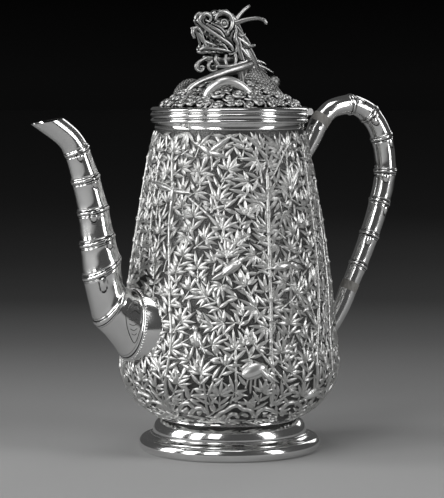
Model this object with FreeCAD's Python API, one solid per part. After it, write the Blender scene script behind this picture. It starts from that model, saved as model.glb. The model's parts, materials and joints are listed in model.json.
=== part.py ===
import FreeCAD, Part
import math
import os
from FreeCAD import Vector

# A silver coffee pot with a bamboo spout and handle and a hinged lid that carries a dragon finial.
# Millimetres. The origin is on the pot's axis, in the plane that the foot rests on.
# +Z is up, the spout points along -X and the handle along +X.

# Foot
foot_rim_radius = 47.6
foot_rim_height = 7.0
foot_rim_inset = 1.6
foot_rim_inner_radius = 43.0
foot_step_radius = 45.0
foot_step_height = 2.2
foot_step_bulge = -0.35
foot_shoulder_radius = 40.4
foot_shoulder_height = 8.3
foot_shoulder_bulge = 2.2
foot_shoulder_inner_bulge = 1.2
foot_top_radius = 32.8
foot_sheet = 1.3
foot_sheet_slant = 1.4

# Body: a bowl below, a long taper above it and a plain cylindrical neck
body_wall = 1.1
body_base_inset_share = 0.6
body_base_radius = 33.4
body_base_opening = 26.0
bowl_height = 28.5
bowl_bulge = 5.8
belly_radius = 56.6
taper_height = 122.0
taper_bulge = 1.9
neck_radius = 38.4
neck_height = 8.0
base_plate_radius = 30.5
base_plate_thickness = 1.0

# Bamboo in relief round the body: culms that stand at equal angles, with pointed leaves at their joints
culm_count = 14
culm_radius = 1.3
culm_joint_radius = 1.7
culm_foot_rise = 5.5
culm_top_drop = 7.0
culm_bowl_joints = 3
culm_taper_joints = 7
leaf_share = 0.46
leaf_middle_share = 0.42
leaf_width = 4.4
leaf_height = 0.9
leaf_root_height = 0.4
leaf_edge_sink = 0.5
leaf_tip_sink = 0.2
# The leaves' angles from the culm's upward way, mirrored at each second joint
leaf_turns = (30.0, 74.0, -48.0, -98.0)
relief_spout_margin = 4.0
relief_handle_margin = 9.0

# Reeded band round the mouth
band_projection = 2.6
reed_depth = 0.8
upper_reed_height = 3.1
lower_reed_height = 2.4

# Lid
lid_edge_height = 2.6
lid_edge_width = 8.2
lid_dome_setback = 6.5
lid_dome_height = 13.0
lid_dome_bulge = 1.2
lid_crown_radius = 7.0
lid_wall = 1.2
lid_wall_slant = 1.3
bezel_depth = 4.6
bezel_wall = 1.0
bezel_clearance = 0.45

# Lid hinge, on the handle side
hinge_knuckle_radius = 1.8
hinge_pin_radius = 0.8
hinge_pin_clearance = 0.05
hinge_length = 18.0
hinge_lid_knuckle_length = 5.6
hinge_knuckle_gap = 0.2
hinge_offset = 0.4
hinge_leaf_thickness = 1.5
hinge_leaf_gap = 0.15

# Spout: the root's centre above the body's base, and the collar that carries it
spout_root_height = 50.5
spout_root_stand_off = 3.0
spout_wall = 1.1
collar_root_radius = 18.6
collar_flare = 3.0
collar_depth = 9.0
spout_lip_slope = 10.5
spout_ring_thickness = 0.9
# Each row: distance out from the root, height above the root, outer radius, tilt of the axis in degrees
spout_root_rows = [(0.0, 0.0, 18.0, 8.0), (7.2, 6.6, 14.3, 20.0), (12.0, 11.2, 12.0, 36.0)]
spout_stem_rows = [
    (12.0, 11.2, 12.0, 36.0),
    (14.4, 21.0, 11.3, 49.0),
    (15.9, 30.0, 11.0, 59.0),
    (18.3, 44.3, 9.2, 71.0),
    (20.5, 59.3, 8.0, 76.0),
    (24.6, 75.2, 7.3, 73.0),
    (29.3, 89.4, 6.5, 66.0),
]
spout_lip_rows = [(29.3, 89.4, 6.5, 66.0), (35.2, 97.0, 6.3, 47.0), (50.2, 107.6, 6.3, 37.5)]
spout_lip_tip = (54.0, 102.5)

# Strainer: holes pierced through the body behind the spout's root
strainer_hole_radius = 1.4
strainer_pitch = 4.8
strainer_rings = 2

# Handle. Rows are: distance out from the neck, depth below the mouth, radius, tilt of the axis in degrees
grip_rows = [
    (17.9, 2.8, 5.2, 52.0),
    (24.2, -1.7, 5.3, 28.0),
    (34.4, -3.5, 5.4, 0.0),
    (41.1, -1.7, 5.6, -24.0),
    (46.2, 1.6, 5.8, -44.0),
    (50.9, 7.0, 5.9, -57.0),
    (54.2, 14.0, 6.0, -70.0),
    (56.2, 23.5, 6.1, -81.0),
    (56.7, 32.5, 6.1, -92.0),
    (55.5, 41.0, 6.0, -103.0),
    (53.2, 49.0, 5.8, -109.0),
    (50.2, 58.0, 5.6, -111.0),
    (46.9, 66.6, 5.4, -112.0),
    (43.4, 75.0, 5.3, -113.0),
    (39.9, 82.7, 5.1, -115.0),
    (35.6, 91.7, 4.8, -117.0),
]
grip_wall = 1.4
grip_ring_thickness = 0.8
insulator_length = 5.0
tenon_radius = 2.9
tenon_length = 5.0
tenon_clearance = 0.05
tenon_end_gap = 0.4
insulator_pin_radius = 0.7
insulator_pin_setback = 2.6
insulator_pin_recess = 0.3
upper_socket_root_drop = 28.5
upper_socket_root_radius = 3.4
upper_socket_mid_drop = 15.5
upper_socket_mid_radius = 4.7
upper_socket_root_turn = 26.0
upper_socket_mid_turn = 10.0
lower_socket_root_drop = 122.5
lower_socket_root_radius = 4.0
lower_socket_mid_drop = 108.0
lower_socket_mid_radius = 4.5
lower_socket_root_turn = 24.0
lower_socket_mid_turn = 6.0
socket_root_sink = 1.5

# Finial: fastened through the lid's crown
stud_radius = 1.5
stud_clearance = 0.1
stud_length = 6.5
washer_radius = 4.5
washer_thickness = 0.8
nut_radius = 3.2
nut_sides = 6
nut_height = 2.2
cloud_base_radius = 10.0
cloud_base_height = 1.6

# Dragon: places are measured from the top of the lid's crown, on the pot's axis
neck_rows = [
    (15.5, 1.5, -4.0, 6.0, 75.0),
    (13.0, 1.0, 4.0, 5.8, 108.0),
    (7.5, 0.3, 10.0, 6.4, 122.0),
    (4.0, 0.0, 16.5, 5.4, 128.0),
]
head_rows = [
    (6.0, 20.5, 4.6, 5.2, 135.0),
    (-0.6, 26.4, 5.9, 6.6, 148.0),
    (-7.6, 30.7, 5.8, 6.4, 155.0),
    (-12.5, 32.0, 4.0, 5.2, 158.0),
    (-17.5, 32.9, 2.9, 4.4, 162.0),
]
jaw_rows = [
    (3.0, 15.2, 2.6, 5.0, 178.0),
    (-7.0, 15.0, 2.2, 4.4, 180.0),
    (-16.5, 15.6, 1.6, 3.2, 176.0),
]
tongue_length = 13.0
tongue_width = 3.0
tongue_thickness = 1.2
tongue_start = (-1.0, 19.4)
eye_radius = 2.1
eye_place = (-6.4, 5.5, 31.0)
horn_root_radius = 1.3
horn_tip_radius = 0.7
far_horn = ((1.5, 2.8, 29.0), (7.5, 4.5, 34.6), (13.2, 6.0, 38.6))
near_horn = ((2.0, -3.0, 28.5), (10.5, -6.5, 33.0), (17.0, -8.5, 30.8))
limb_radius = 2.0
near_limb = ((10.0, -3.0, 7.5), (-6.0, -8.5, 4.6), (-19.0, -13.0, -4.0))
far_limb = ((10.0, 4.0, 7.0), (-3.0, 12.5, 4.0), (-14.0, 18.0, -5.0))
coil_radius = 2.5
front_coil = ((-21.5, -12.0, -11.0), (-11.0, -17.0, -0.4), (1.5, -24.0, -11.0))
tail_radius = 2.6
tail_coil = ((22.0, -13.5, -12.0), (24.0, 3.0, -1.6), (13.0, 20.5, -12.0))
spike_root_radius = 1.1
spike_tip_radius = 0.3
mane_spikes = [
    ((4.0, -4.6, 23.0), (10.4, -7.0, 25.0)),
    ((6.0, -4.2, 19.0), (14.0, -7.0, 19.6)),
    ((8.5, -4.0, 15.0), (15.6, -6.6, 12.8)),
    ((4.0, 4.6, 23.0), (10.4, 7.0, 25.0)),
    ((6.0, 4.2, 19.0), (14.0, 7.0, 19.6)),
    ((8.5, 4.0, 15.0), (15.6, 6.6, 12.8)),
]
beard_radius = 0.8
beard_curls = [
    ((-6.5, -1.5, 15.5), (-7.5, -2.0, 10.5), (-10.5, -2.2, 7.6)),
    ((-11.5, 0.5, 15.5), (-13.5, 0.5, 10.5), (-17.0, 0.4, 8.0)),
]

# Levels and places that follow from the sizes above
foot_step_level = foot_rim_height + foot_step_height
body_base = foot_step_level + foot_shoulder_height
belly_level = body_base + bowl_height
neck_level = belly_level + taper_height
mouth_level = neck_level + neck_height
band_radius = neck_radius + band_projection
lid_edge_inner_radius = band_radius - reed_depth - lid_edge_width
lid_dome_radius = band_radius - lid_dome_setback
lid_level = mouth_level + lid_edge_height
crown_level = lid_level + lid_dome_height
hinge_x = band_radius + hinge_offset + hinge_knuckle_radius
spout_level = body_base + spout_root_height
bore_radius = neck_radius - body_wall


def at(radius, level):
    return Vector(radius, 0, level)


def line(start, end):
    return Part.makeLine(start, end)


def bulged(start, end, bulge):
    """An arc from start to end whose middle stands off the chord by bulge, to the right of the way."""
    chord = end - start
    across = Vector(chord.z, 0, -chord.x).normalize()
    middle = (start + end) * 0.5 + across * bulge
    return Part.Arc(start, middle, end).toShape()


def lathe(edges):
    face = Part.Face(Part.Wire(edges))
    return face.revolve(Vector(0, 0, 0), Vector(0, 0, 1), 360)


def polygon_edges(points):
    return [line(a, b) for a, b in zip(points, points[1:])]


def main_solid(shape):
    """The largest solid that a cut leaves."""
    return max(shape.Solids, key=lambda solid: solid.Volume)


def body_curve(inset):
    """The edges of the body's wall from its base up to the mouth, moved inward by inset."""
    base = at(body_base_radius - body_base_inset_share * inset, body_base + inset)
    belly = at(belly_radius - inset, belly_level)
    neck = at(neck_radius - inset, neck_level)
    mouth = at(neck_radius - inset, mouth_level)
    edges = [bulged(base, belly, bowl_bulge), bulged(belly, neck, taper_bulge), line(neck, mouth)]
    return edges, base, mouth


def body_arc(level):
    """The centre and radius of the arc that outlines the body at a level below the neck."""
    belly = at(belly_radius, belly_level)
    start, end, bulge = belly, at(neck_radius, neck_level), taper_bulge
    if level < belly_level:
        start, end, bulge = at(body_base_radius, body_base), belly, bowl_bulge
    chord = end - start
    half = chord.Length / 2
    arc_radius = (half * half + bulge * bulge) / (2 * bulge)
    across = Vector(chord.z, 0, -chord.x).normalize()
    return (start + end) * 0.5 - across * (arc_radius - bulge), arc_radius


def body_radius(level):
    """The radius of the body's outside at a level below the neck."""
    centre, arc_radius = body_arc(level)
    return centre.x + math.sqrt(arc_radius ** 2 - (level - centre.z) ** 2)


def filled_body():
    edges, base, mouth = body_curve(0.0)
    closing = polygon_edges([mouth, at(0, mouth_level), at(0, body_base), base])
    return lathe(edges + closing)


def strainer_holes():
    """Cylinders along X, one at the middle and the rest on hexagons round it."""
    places = [(0.0, 0.0)]
    for ring in range(1, strainer_rings + 1):
        count = 6 * ring
        for index in range(count):
            angle = 2 * math.pi * index / count
            places.append((ring * strainer_pitch * math.cos(angle), ring * strainer_pitch * math.sin(angle)))
    depth = 2 * belly_radius
    holes = []
    for across, up in places:
        start = Vector(-depth, across, spout_level + up)
        holes.append(Part.makeCylinder(strainer_hole_radius, depth, start, Vector(1, 0, 0)))
    return Part.makeCompound(holes)


def body_shell():
    outer, outer_base, outer_mouth = body_curve(0.0)
    inner, inner_base, inner_mouth = body_curve(body_wall)
    lip_low = at(body_base_opening, body_base)
    lip_high = at(body_base_opening, body_base + body_wall)
    edges = [line(lip_low, outer_base)] + outer + [line(outer_mouth, inner_mouth)]
    edges += inner + [line(inner_base, lip_high), line(lip_high, lip_low)]
    shell = lathe(Part.__sortEdges__(edges))
    return main_solid(shell.cut(strainer_holes()))


def off_body(level, angle, stand_off):
    """A point that stands off the body's outside, at a level and at an angle round the axis."""
    outline = at(body_radius(level), level)
    point = outline + (outline - body_arc(level)[0]).normalize() * stand_off
    return Vector(point.x * math.cos(angle), point.x * math.sin(angle), point.z)


def leaf_spot(level, turn, along, aside):
    """The level and the angle round the axis of a spot on a leaf that springs from a joint at level."""
    rise = along * math.cos(turn) - aside * math.sin(turn)
    sideways = along * math.sin(turn) + aside * math.cos(turn)
    return level + rise, sideways / body_radius(level)


def leaf_length(level):
    """A share of the distance between two culms, so that the leaves of neighbours stay apart."""
    return leaf_share * 2 * math.pi * body_radius(level) / culm_count


def bamboo_leaf(level, turn):
    """A pointed leaf with a raised rib, on the culm that stands at the angle 0."""
    length = leaf_length(level)
    middle = leaf_middle_share * length
    half = leaf_width / 2
    crest = off_body(*leaf_spot(level, turn, 0, 0), leaf_root_height)
    root = off_body(*leaf_spot(level, turn, 0, 0), -leaf_edge_sink)
    left = off_body(*leaf_spot(level, turn, middle, -half), -leaf_edge_sink)
    right = off_body(*leaf_spot(level, turn, middle, half), -leaf_edge_sink)
    rib = off_body(*leaf_spot(level, turn, middle, 0), leaf_height)
    tip = off_body(*leaf_spot(level, turn, length, 0), -leaf_tip_sink)
    corners = [
        (crest, left, rib), (left, tip, rib), (tip, right, rib), (right, crest, rib),
        (root, left, crest), (crest, right, root), (root, right, left), (tip, left, right),
    ]
    faces = [Part.Face(Part.makePolygon([a, b, c, a])) for a, b, c in corners]
    return Part.Solid(Part.Shell(faces))


def culm_levels():
    """The levels of a culm's joints, closer on the bowl, where the body is more curved."""
    foot = body_base + culm_foot_rise
    top = neck_level - culm_top_drop
    bowl = [foot + (belly_level - foot) * step / culm_bowl_joints for step in range(culm_bowl_joints)]
    rise = (top - belly_level) / culm_taper_joints
    return bowl + [belly_level + rise * step for step in range(culm_taper_joints + 1)]


def clear_of_fittings(level, angle):
    """Whether a spot of the relief keeps clear of the spout's collar and of the handle's sockets."""
    out = body_radius(level) * math.cos(angle)
    aside = body_radius(level) * math.sin(angle)
    if out > 0:
        return abs(aside) > relief_handle_margin
    reach = collar_root_radius + collar_flare + relief_spout_margin
    return math.hypot(aside, level - spout_level) > reach


def plant_plan(angle):
    """The joints, and the leaves as level and turn, that a culm standing at an angle has room for."""
    levels = [level for level in culm_levels() if clear_of_fittings(level, angle)]
    leaves = []
    for index, level in enumerate(culm_levels()):
        if level not in levels or index % 2 == 0 and level < belly_level:
            continue
        for turn_degrees in leaf_turns:
            turn = math.radians(turn_degrees if index % 2 else -turn_degrees)
            tip_level, tip_angle = leaf_spot(level, turn, leaf_length(level), 0)
            if tip_level < neck_level and clear_of_fittings(tip_level, angle + tip_angle):
                leaves.append((level, turn))
    return tuple(levels), tuple(leaves)


def bamboo_plant(levels, leaves, body):
    """Culms with their leaves, lying on the body at the angle 0. A gap in the joints parts two culms."""
    every = culm_levels()
    shapes = [Part.makeSphere(culm_joint_radius, off_body(level, 0, 0)) for level in levels]
    for low, high in zip(every, every[1:]):
        if low in levels and high in levels:
            start, end = off_body(low, 0, 0), off_body(high, 0, 0)
            shapes.append(Part.makeCylinder(culm_radius, (end - start).Length, start, end - start))
    shapes += [bamboo_leaf(level, turn) for level, turn in leaves]
    return shapes[0].fuse(shapes[1:]).cut(body).Solids


def bamboo_relief(body):
    """Culms with the same plan are one shape, turned round the axis. The body's seam is kept away from them."""
    ground = body.rotated(Vector(0, 0, 0), Vector(0, 0, 1), 180)
    made = {}
    solids = []
    for index in range(culm_count):
        degrees = 360.0 * (index + 0.5) / culm_count
        plan = plant_plan(math.radians(degrees))
        if plan not in made:
            made[plan] = bamboo_plant(*plan, ground)
        solids += [solid.rotated(Vector(0, 0, 0), Vector(0, 0, 1), degrees) for solid in made[plan]]
    return Part.makeCompound(solids)


def base_plate():
    return Part.makeCylinder(base_plate_radius, base_plate_thickness, at(0, body_base + body_wall))


def foot_rim():
    edge_radius = foot_rim_radius - foot_rim_inset
    low = at(edge_radius, 0)
    high = at(edge_radius, foot_rim_height)
    edges = [bulged(low, high, foot_rim_inset)]
    inner = foot_rim_inner_radius
    edges += polygon_edges([high, at(inner, foot_rim_height), at(inner, 0), low])
    return lathe(edges)


def foot_dome():
    """A hollow step up from the rim, and a round shoulder from there to the body."""
    outer_low = at(foot_step_radius, foot_rim_height)
    outer_step = at(foot_shoulder_radius, foot_step_level)
    outer_top = at(foot_top_radius, body_base)
    inner_low = at(foot_step_radius - foot_sheet_slant * foot_sheet, foot_rim_height)
    inner_step = at(foot_shoulder_radius - foot_sheet, foot_step_level - foot_sheet)
    inner_top = at(foot_top_radius - foot_sheet_slant * foot_sheet, body_base)
    edges = [
        bulged(outer_low, outer_step, foot_step_bulge),
        bulged(outer_step, outer_top, foot_shoulder_bulge),
        line(outer_top, inner_top),
        bulged(inner_top, inner_step, -foot_shoulder_inner_bulge),
        line(inner_step, inner_low),
        line(inner_low, outer_low),
    ]
    return lathe(edges)


def rim_band():
    low = mouth_level - upper_reed_height - lower_reed_height
    reed_root = band_radius - reed_depth
    step = at(reed_root, mouth_level - upper_reed_height)
    edges = [
        line(at(neck_radius, low), at(reed_root, low)),
        bulged(at(reed_root, low), step, reed_depth),
        bulged(step, at(reed_root, mouth_level), reed_depth),
        line(at(reed_root, mouth_level), at(neck_radius, mouth_level)),
        line(at(neck_radius, mouth_level), at(neck_radius, low)),
    ]
    return lathe(edges)


def lid_edge():
    reed_root = band_radius - reed_depth
    low = at(reed_root, mouth_level)
    high = at(reed_root, lid_level)
    edges = [bulged(low, high, reed_depth)]
    inner = lid_edge_inner_radius
    edges += polygon_edges([high, at(inner, lid_level), at(inner, mouth_level), low])
    return lathe(edges)


def lid_bezel():
    outer = bore_radius - bezel_clearance
    low = mouth_level - bezel_depth
    ring = Part.makeCylinder(outer, bezel_depth, at(0, low))
    return ring.cut(Part.makeCylinder(outer - bezel_wall, bezel_depth, at(0, low)))


def filled_dome():
    foot = at(lid_dome_radius, lid_level)
    crown = at(lid_crown_radius, crown_level)
    edges = [bulged(foot, crown, lid_dome_bulge)]
    edges += polygon_edges([crown, at(0, crown_level), at(0, lid_level), foot])
    return lathe(edges)


def lid_dome():
    hole = stud_radius + stud_clearance
    outer_foot = at(lid_dome_radius, lid_level)
    outer_crown = at(lid_crown_radius, crown_level)
    inner_foot = at(lid_dome_radius - lid_wall_slant * lid_wall, lid_level)
    inner_crown = at(lid_crown_radius, crown_level - lid_wall)
    edges = [bulged(outer_foot, outer_crown, lid_dome_bulge)]
    edges += polygon_edges([outer_crown, at(hole, crown_level), at(hole, crown_level - lid_wall), inner_crown])
    edges += [bulged(inner_crown, inner_foot, -lid_dome_bulge), line(inner_foot, outer_foot)]
    return lathe(edges)


def barrel(radius, low_y, high_y):
    return Part.makeCylinder(radius, high_y - low_y, Vector(hinge_x, low_y, mouth_level), Vector(0, 1, 0))


def leaf(low_y, high_y, low_z, inner_radius):
    """A leaf from the barrel's middle in to the ring that it is soldered to."""
    block = Part.makeBox(hinge_x, high_y - low_y, hinge_leaf_thickness, Vector(0, low_y, low_z))
    height = 4 * hinge_leaf_thickness
    core = Part.makeCylinder(inner_radius, height, at(0, low_z - hinge_leaf_thickness))
    return block.cut(core)


def hinge_bore():
    return barrel(hinge_pin_radius + hinge_pin_clearance, -hinge_length, hinge_length)


def hinge_body_knuckles(band):
    """Two knuckles on leaves soldered to the band, below the level of the mouth."""
    near = hinge_lid_knuckle_length / 2 + hinge_knuckle_gap
    far = hinge_length / 2
    low_z = mouth_level - hinge_leaf_gap - hinge_leaf_thickness
    solids = []
    for low_y, high_y in ((-far, -near), (near, far)):
        knuckle = barrel(hinge_knuckle_radius, low_y, high_y)
        joined = knuckle.fuse(leaf(low_y, high_y, low_z, band_radius - 2 * reed_depth))
        solids.append(main_solid(joined.cut(hinge_bore()).cut(band)))
    return Part.makeCompound(solids)


def hinge_lid_knuckle(edge):
    """The middle knuckle, on a leaf soldered to the lid's edge."""
    half = hinge_lid_knuckle_length / 2
    low_z = mouth_level + hinge_leaf_gap
    knuckle = barrel(hinge_knuckle_radius, -half, half)
    joined = knuckle.fuse(leaf(-half, half, low_z, band_radius - 2 * reed_depth))
    return main_solid(joined.cut(hinge_bore()).cut(edge))


def hinge_pin():
    return barrel(hinge_pin_radius, -hinge_length / 2, hinge_length / 2)


def along(tilt):
    return Vector(math.cos(math.radians(tilt)), 0, math.sin(math.radians(tilt)))


def section(centre, high, wide, tilt):
    """A closed section, at least as wide along Y as it is high, facing tilt degrees above +X."""
    if high == wide:
        outline = Part.Circle(Vector(0, 0, 0), Vector(0, 0, 1), high)
    else:
        outline = Part.Ellipse(Vector(0, 0, 0), wide, high)
    facing = along(tilt)
    turn = FreeCAD.Rotation(Vector(0, 1, 0), Vector(-facing.z, 0, facing.x), facing, "XYZ")
    wire = Part.Wire(outline.toShape())
    wire.Placement = FreeCAD.Placement(centre, turn)
    return wire


def tube(rows, inset=0.0):
    """A loft through circles. Each row is a place, a radius and a tilt."""
    wires = [section(place, radius - inset, radius - inset, tilt) for place, radius, tilt in rows]
    return Part.makeLoft(wires, True, False)


def hollow(rows, wall):
    """An open tube: the loft, less a bore that leaves the wall."""
    return main_solid(tube(rows).cut(tube(rows, wall)))


def spout_place(out, up):
    return Vector(-(body_radius(spout_level) + spout_root_stand_off + out), 0, spout_level + up)


def spout_rows(rows):
    """Spout rows as places. The spout's axis runs along -X, so its tilt is measured from there."""
    return [(spout_place(out, up), radius, 180.0 - tilt) for out, up, radius, tilt in rows]


def spout_collar(body):
    """The flared saddle between the body and the spout's root, bored through."""
    face = spout_place(0.0, 0.0)
    tilt = spout_root_rows[0][3]
    back = face + Vector(collar_depth, 0, 0)
    rows = [(back, collar_root_radius + collar_flare, 180.0 - tilt), (face, collar_root_radius, 180.0 - tilt)]
    bore = spout_root_rows[0][2] - spout_wall
    bore_rows = [(back, bore, 180.0 - tilt), (face, bore, 180.0 - tilt)]
    return main_solid(tube(rows).cut(tube(bore_rows)).cut(body))


def spout_lip():
    """The last stretch, cut off by a plane that rises from the tip toward the pot."""
    stretch = hollow(spout_rows(spout_lip_rows), spout_wall)
    size = 2 * spout_lip_tip[0]
    above = Part.makeBox(2 * size, size, size, Vector(-size, -size / 2, 0))
    turn = FreeCAD.Rotation(Vector(0, 1, 0), -spout_lip_slope)
    above.Placement = FreeCAD.Placement(spout_place(*spout_lip_tip), turn)
    return main_solid(stretch.cut(above))


def bead(place, radius, tilt, thickness):
    ring = Part.makeTorus(radius, thickness)
    turn = FreeCAD.Rotation(Vector(0, 1, 0), 90.0 - tilt)
    ring.Placement = FreeCAD.Placement(place, turn)
    return ring


def spout_rings():
    """The bamboo's node rings, each cut to sit on the spout."""
    pieces = [tube(spout_rows(rows)) for rows in (spout_root_rows, spout_stem_rows, spout_lip_rows)]
    rings = []
    for place, radius, tilt in spout_rows(spout_stem_rows[:1] + spout_stem_rows[2:]):
        ring = bead(place, radius, tilt, spout_ring_thickness)
        for piece in pieces:
            ring = ring.cut(piece)
        rings.append(main_solid(ring))
    return Part.makeCompound(rings)


def grip_place(out, down):
    return Vector(neck_radius + out, 0, mouth_level - down)


def placed_grip():
    return [(grip_place(out, down), radius, tilt) for out, down, radius, tilt in grip_rows]


def tenon_hole(place, direction):
    return Part.makeCylinder(tenon_radius + tenon_clearance, tenon_length + tenon_end_gap, place, direction)


def pin_at(place, direction, radius):
    """A cross pin along Y, a set distance from a joint's face, just short of the outside."""
    centre = place + direction * insulator_pin_setback
    half = radius - insulator_pin_recess
    return Part.makeCylinder(insulator_pin_radius, 2 * half, centre - Vector(0, half, 0), Vector(0, 1, 0))


def pin_holes(place, direction):
    centre = place + direction * insulator_pin_setback
    reach = 4 * tenon_radius
    return Part.makeCylinder(insulator_pin_radius, 2 * reach, centre - Vector(0, reach, 0), Vector(0, 1, 0))


def handle_joints():
    """For each end of the grip: the grip's face, the socket's face, the way into the grip and the radius."""
    rows = placed_grip()
    joints = []
    for (place, radius, tilt), sign in ((rows[0], 1), (rows[-1], -1)):
        inward = along(tilt) * sign
        joints.append((place, place - inward * insulator_length, inward, radius, tilt))
    return joints


def handle_grip():
    grip = hollow(placed_grip(), grip_wall)
    for face, _, inward, _, _ in handle_joints():
        grip = grip.cut(tenon_hole(face, inward)).cut(pin_holes(face, inward))
    return main_solid(grip)


def handle_rings():
    """A ring on every other row of the grip, clear of its ends."""
    rows = placed_grip()
    whole = tube(rows)
    rings = []
    for place, radius, tilt in rows[2:-1:2]:
        rings.append(main_solid(bead(place, radius, tilt, grip_ring_thickness).cut(whole)))
    return Part.makeCompound(rings)


def insulator(joint):
    """A collar that keeps the heat from the grip, with a tenon into the grip and one into the socket."""
    face, socket_face, inward, radius, _ = joint
    collar = Part.makeCylinder(radius, insulator_length, socket_face, inward)
    tenons = Part.makeCylinder(
        tenon_radius, insulator_length + 2 * tenon_length, socket_face - inward * tenon_length, inward
    )
    joined = collar.fuse(tenons)
    joined = joined.cut(pin_holes(face, inward)).cut(pin_holes(socket_face, inward * -1))
    return main_solid(joined)


def insulator_pins():
    pins = []
    for face, socket_face, inward, radius, _ in handle_joints():
        pins.append(pin_at(face, inward, radius))
        pins.append(pin_at(socket_face, inward * -1, radius))
    return Part.makeCompound(pins)


def socket_root(drop, root_radius, tilt):
    level = mouth_level - drop
    return Vector(body_radius(level) - socket_root_sink, 0, level), root_radius, tilt


def socket(rows, joint, body):
    """A tapering branch from the body to an insulator, bored for the tenon and its pin."""
    _, socket_face, inward, _, _ = joint
    branch = tube(rows).cut(body)
    bored = main_solid(branch).cut(tenon_hole(socket_face, inward * -1))
    return main_solid(bored.cut(pin_holes(socket_face, inward * -1)))


def upper_socket(body):
    joint = handle_joints()[0]
    face, tilt = joint[1], joint[4]
    level = mouth_level - upper_socket_mid_drop
    middle = Vector((body_radius(level) + upper_socket_mid_radius + face.x) / 2, 0, level)
    rows = [
        socket_root(upper_socket_root_drop, upper_socket_root_radius, tilt + upper_socket_root_turn),
        (middle, upper_socket_mid_radius, tilt + upper_socket_mid_turn),
        (face, joint[3], tilt),
    ]
    return socket(rows, joint, body)


def lower_socket(body):
    joint = handle_joints()[1]
    face, tilt = joint[1], joint[4]
    root = socket_root(lower_socket_root_drop, lower_socket_root_radius, tilt - lower_socket_root_turn)
    level = mouth_level - lower_socket_mid_drop
    middle = Vector((2 * face.x + root[0].x) / 3, 0, level)
    rows = [(face, joint[3], tilt), (middle, lower_socket_mid_radius, tilt - lower_socket_mid_turn), root]
    return socket(rows, joint, body)


def finial_stud():
    return Part.makeCylinder(stud_radius, stud_length, at(0, crown_level - stud_length))


def finial_washer():
    low = at(0, crown_level - lid_wall - washer_thickness)
    disc = Part.makeCylinder(washer_radius, washer_thickness, low)
    return disc.cut(Part.makeCylinder(stud_radius + stud_clearance, washer_thickness, low))


def finial_nut():
    low = at(0, crown_level - lid_wall - washer_thickness - nut_height)
    corners = []
    for index in range(nut_sides + 1):
        angle = 2 * math.pi * index / nut_sides
        corners.append(low + Vector(nut_radius * math.cos(angle), nut_radius * math.sin(angle), 0))
    prism = Part.Face(Part.makePolygon(corners)).extrude(Vector(0, 0, nut_height))
    return prism.cut(Part.makeCylinder(stud_radius, nut_height, low))


def cloud_base(dome):
    """The round plate of clouds under the dragon, seated on the crown and the dome."""
    low = at(0, crown_level - 2 * cloud_base_height)
    plate = Part.makeCylinder(cloud_base_radius, 3 * cloud_base_height, low)
    return main_solid(plate.cut(dome))


def dragon_place(x, y, up):
    return Vector(x, y, crown_level + up)


def trimmed(shape, *others):
    for other in others:
        shape = shape.cut(other)
    return main_solid(shape)


def dragon_neck(dome, base):
    rows = [(dragon_place(x, y, up), radius, tilt) for x, y, up, radius, tilt in neck_rows]
    return trimmed(tube(rows), dome, base)


def shaped(rows):
    wires = [section(dragon_place(x, 0, up), high, wide, tilt) for x, up, high, wide, tilt in rows]
    return Part.makeLoft(wires, True, False)


def dragon_tongue(*others):
    x, up = tongue_start
    corner = dragon_place(x - tongue_length, -tongue_width / 2, up)
    blade = Part.makeBox(tongue_length, tongue_width, tongue_thickness, corner)
    return trimmed(blade, *others)


def dragon_eyes(head):
    x, y, up = eye_place
    eyes = [trimmed(Part.makeSphere(eye_radius, dragon_place(x, side * y, up)), head) for side in (-1, 1)]
    return Part.makeCompound(eyes)


def bent(points, radius, *others):
    """A round bar along the arc through three places, trimmed by what it meets."""
    start, middle, end = [dragon_place(*point) for point in points]
    arc = Part.Arc(start, middle, end)
    path = Part.Wire(arc.toShape())
    outline = Part.Wire(Part.makeCircle(radius, start, Vector(*arc.tangent(arc.FirstParameter)[0])))
    return trimmed(path.makePipeShell([outline], True, True), *others)


def spike(root, tip, root_radius, tip_radius):
    start = dragon_place(*root)
    way = dragon_place(*tip) - start
    return Part.makeCone(root_radius, tip_radius, way.Length, start, way)


def dragon_horns(head):
    """Each horn is two tapering lengths with a ball at the bend."""
    horns = []
    bend_radius = (horn_root_radius + horn_tip_radius) / 2
    for root, bend, tip in (far_horn, near_horn):
        lower = spike(root, bend, horn_root_radius, bend_radius)
        upper = spike(bend, tip, bend_radius, horn_tip_radius)
        ball = Part.makeSphere(bend_radius, dragon_place(*bend))
        horns.append(trimmed(lower.fuse([ball, upper]), head))
    return Part.makeCompound(horns)


def dragon_mane(*others):
    spikes = [spike(root, tip, spike_root_radius, spike_tip_radius) for root, tip in mane_spikes]
    return Part.makeCompound([trimmed(shape, *others) for shape in spikes])


def pot_pieces():
    body = filled_body()
    band = rim_band()
    joints = handle_joints()
    return {
        "foot_rim": foot_rim(),
        "foot_dome": foot_dome(),
        "body_shell": body_shell(),
        "bamboo_relief": bamboo_relief(body),
        "base_plate": base_plate(),
        "rim_band": band,
        "spout_collar": spout_collar(body),
        "spout_root": hollow(spout_rows(spout_root_rows), spout_wall),
        "spout_stem": hollow(spout_rows(spout_stem_rows), spout_wall),
        "spout_lip": spout_lip(),
        "spout_rings": spout_rings(),
        "handle_upper_socket": upper_socket(body),
        "upper_insulator": insulator(joints[0]),
        "handle_grip": handle_grip(),
        "handle_rings": handle_rings(),
        "lower_insulator": insulator(joints[1]),
        "handle_lower_socket": lower_socket(body),
        "insulator_pins": insulator_pins(),
        "hinge_body_knuckles": hinge_body_knuckles(band),
        "hinge_pin": hinge_pin(),
    }


def lid_pieces():
    dome = filled_dome()
    edge = lid_edge()
    return {
        "lid_edge": edge,
        "lid_bezel": lid_bezel(),
        "lid_dome": lid_dome(),
        "hinge_lid_knuckle": hinge_lid_knuckle(edge),
        "finial_stud": finial_stud(),
        "finial_washer": finial_washer(),
        "finial_nut": finial_nut(),
        "cloud_base": cloud_base(dome),
    }


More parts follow.
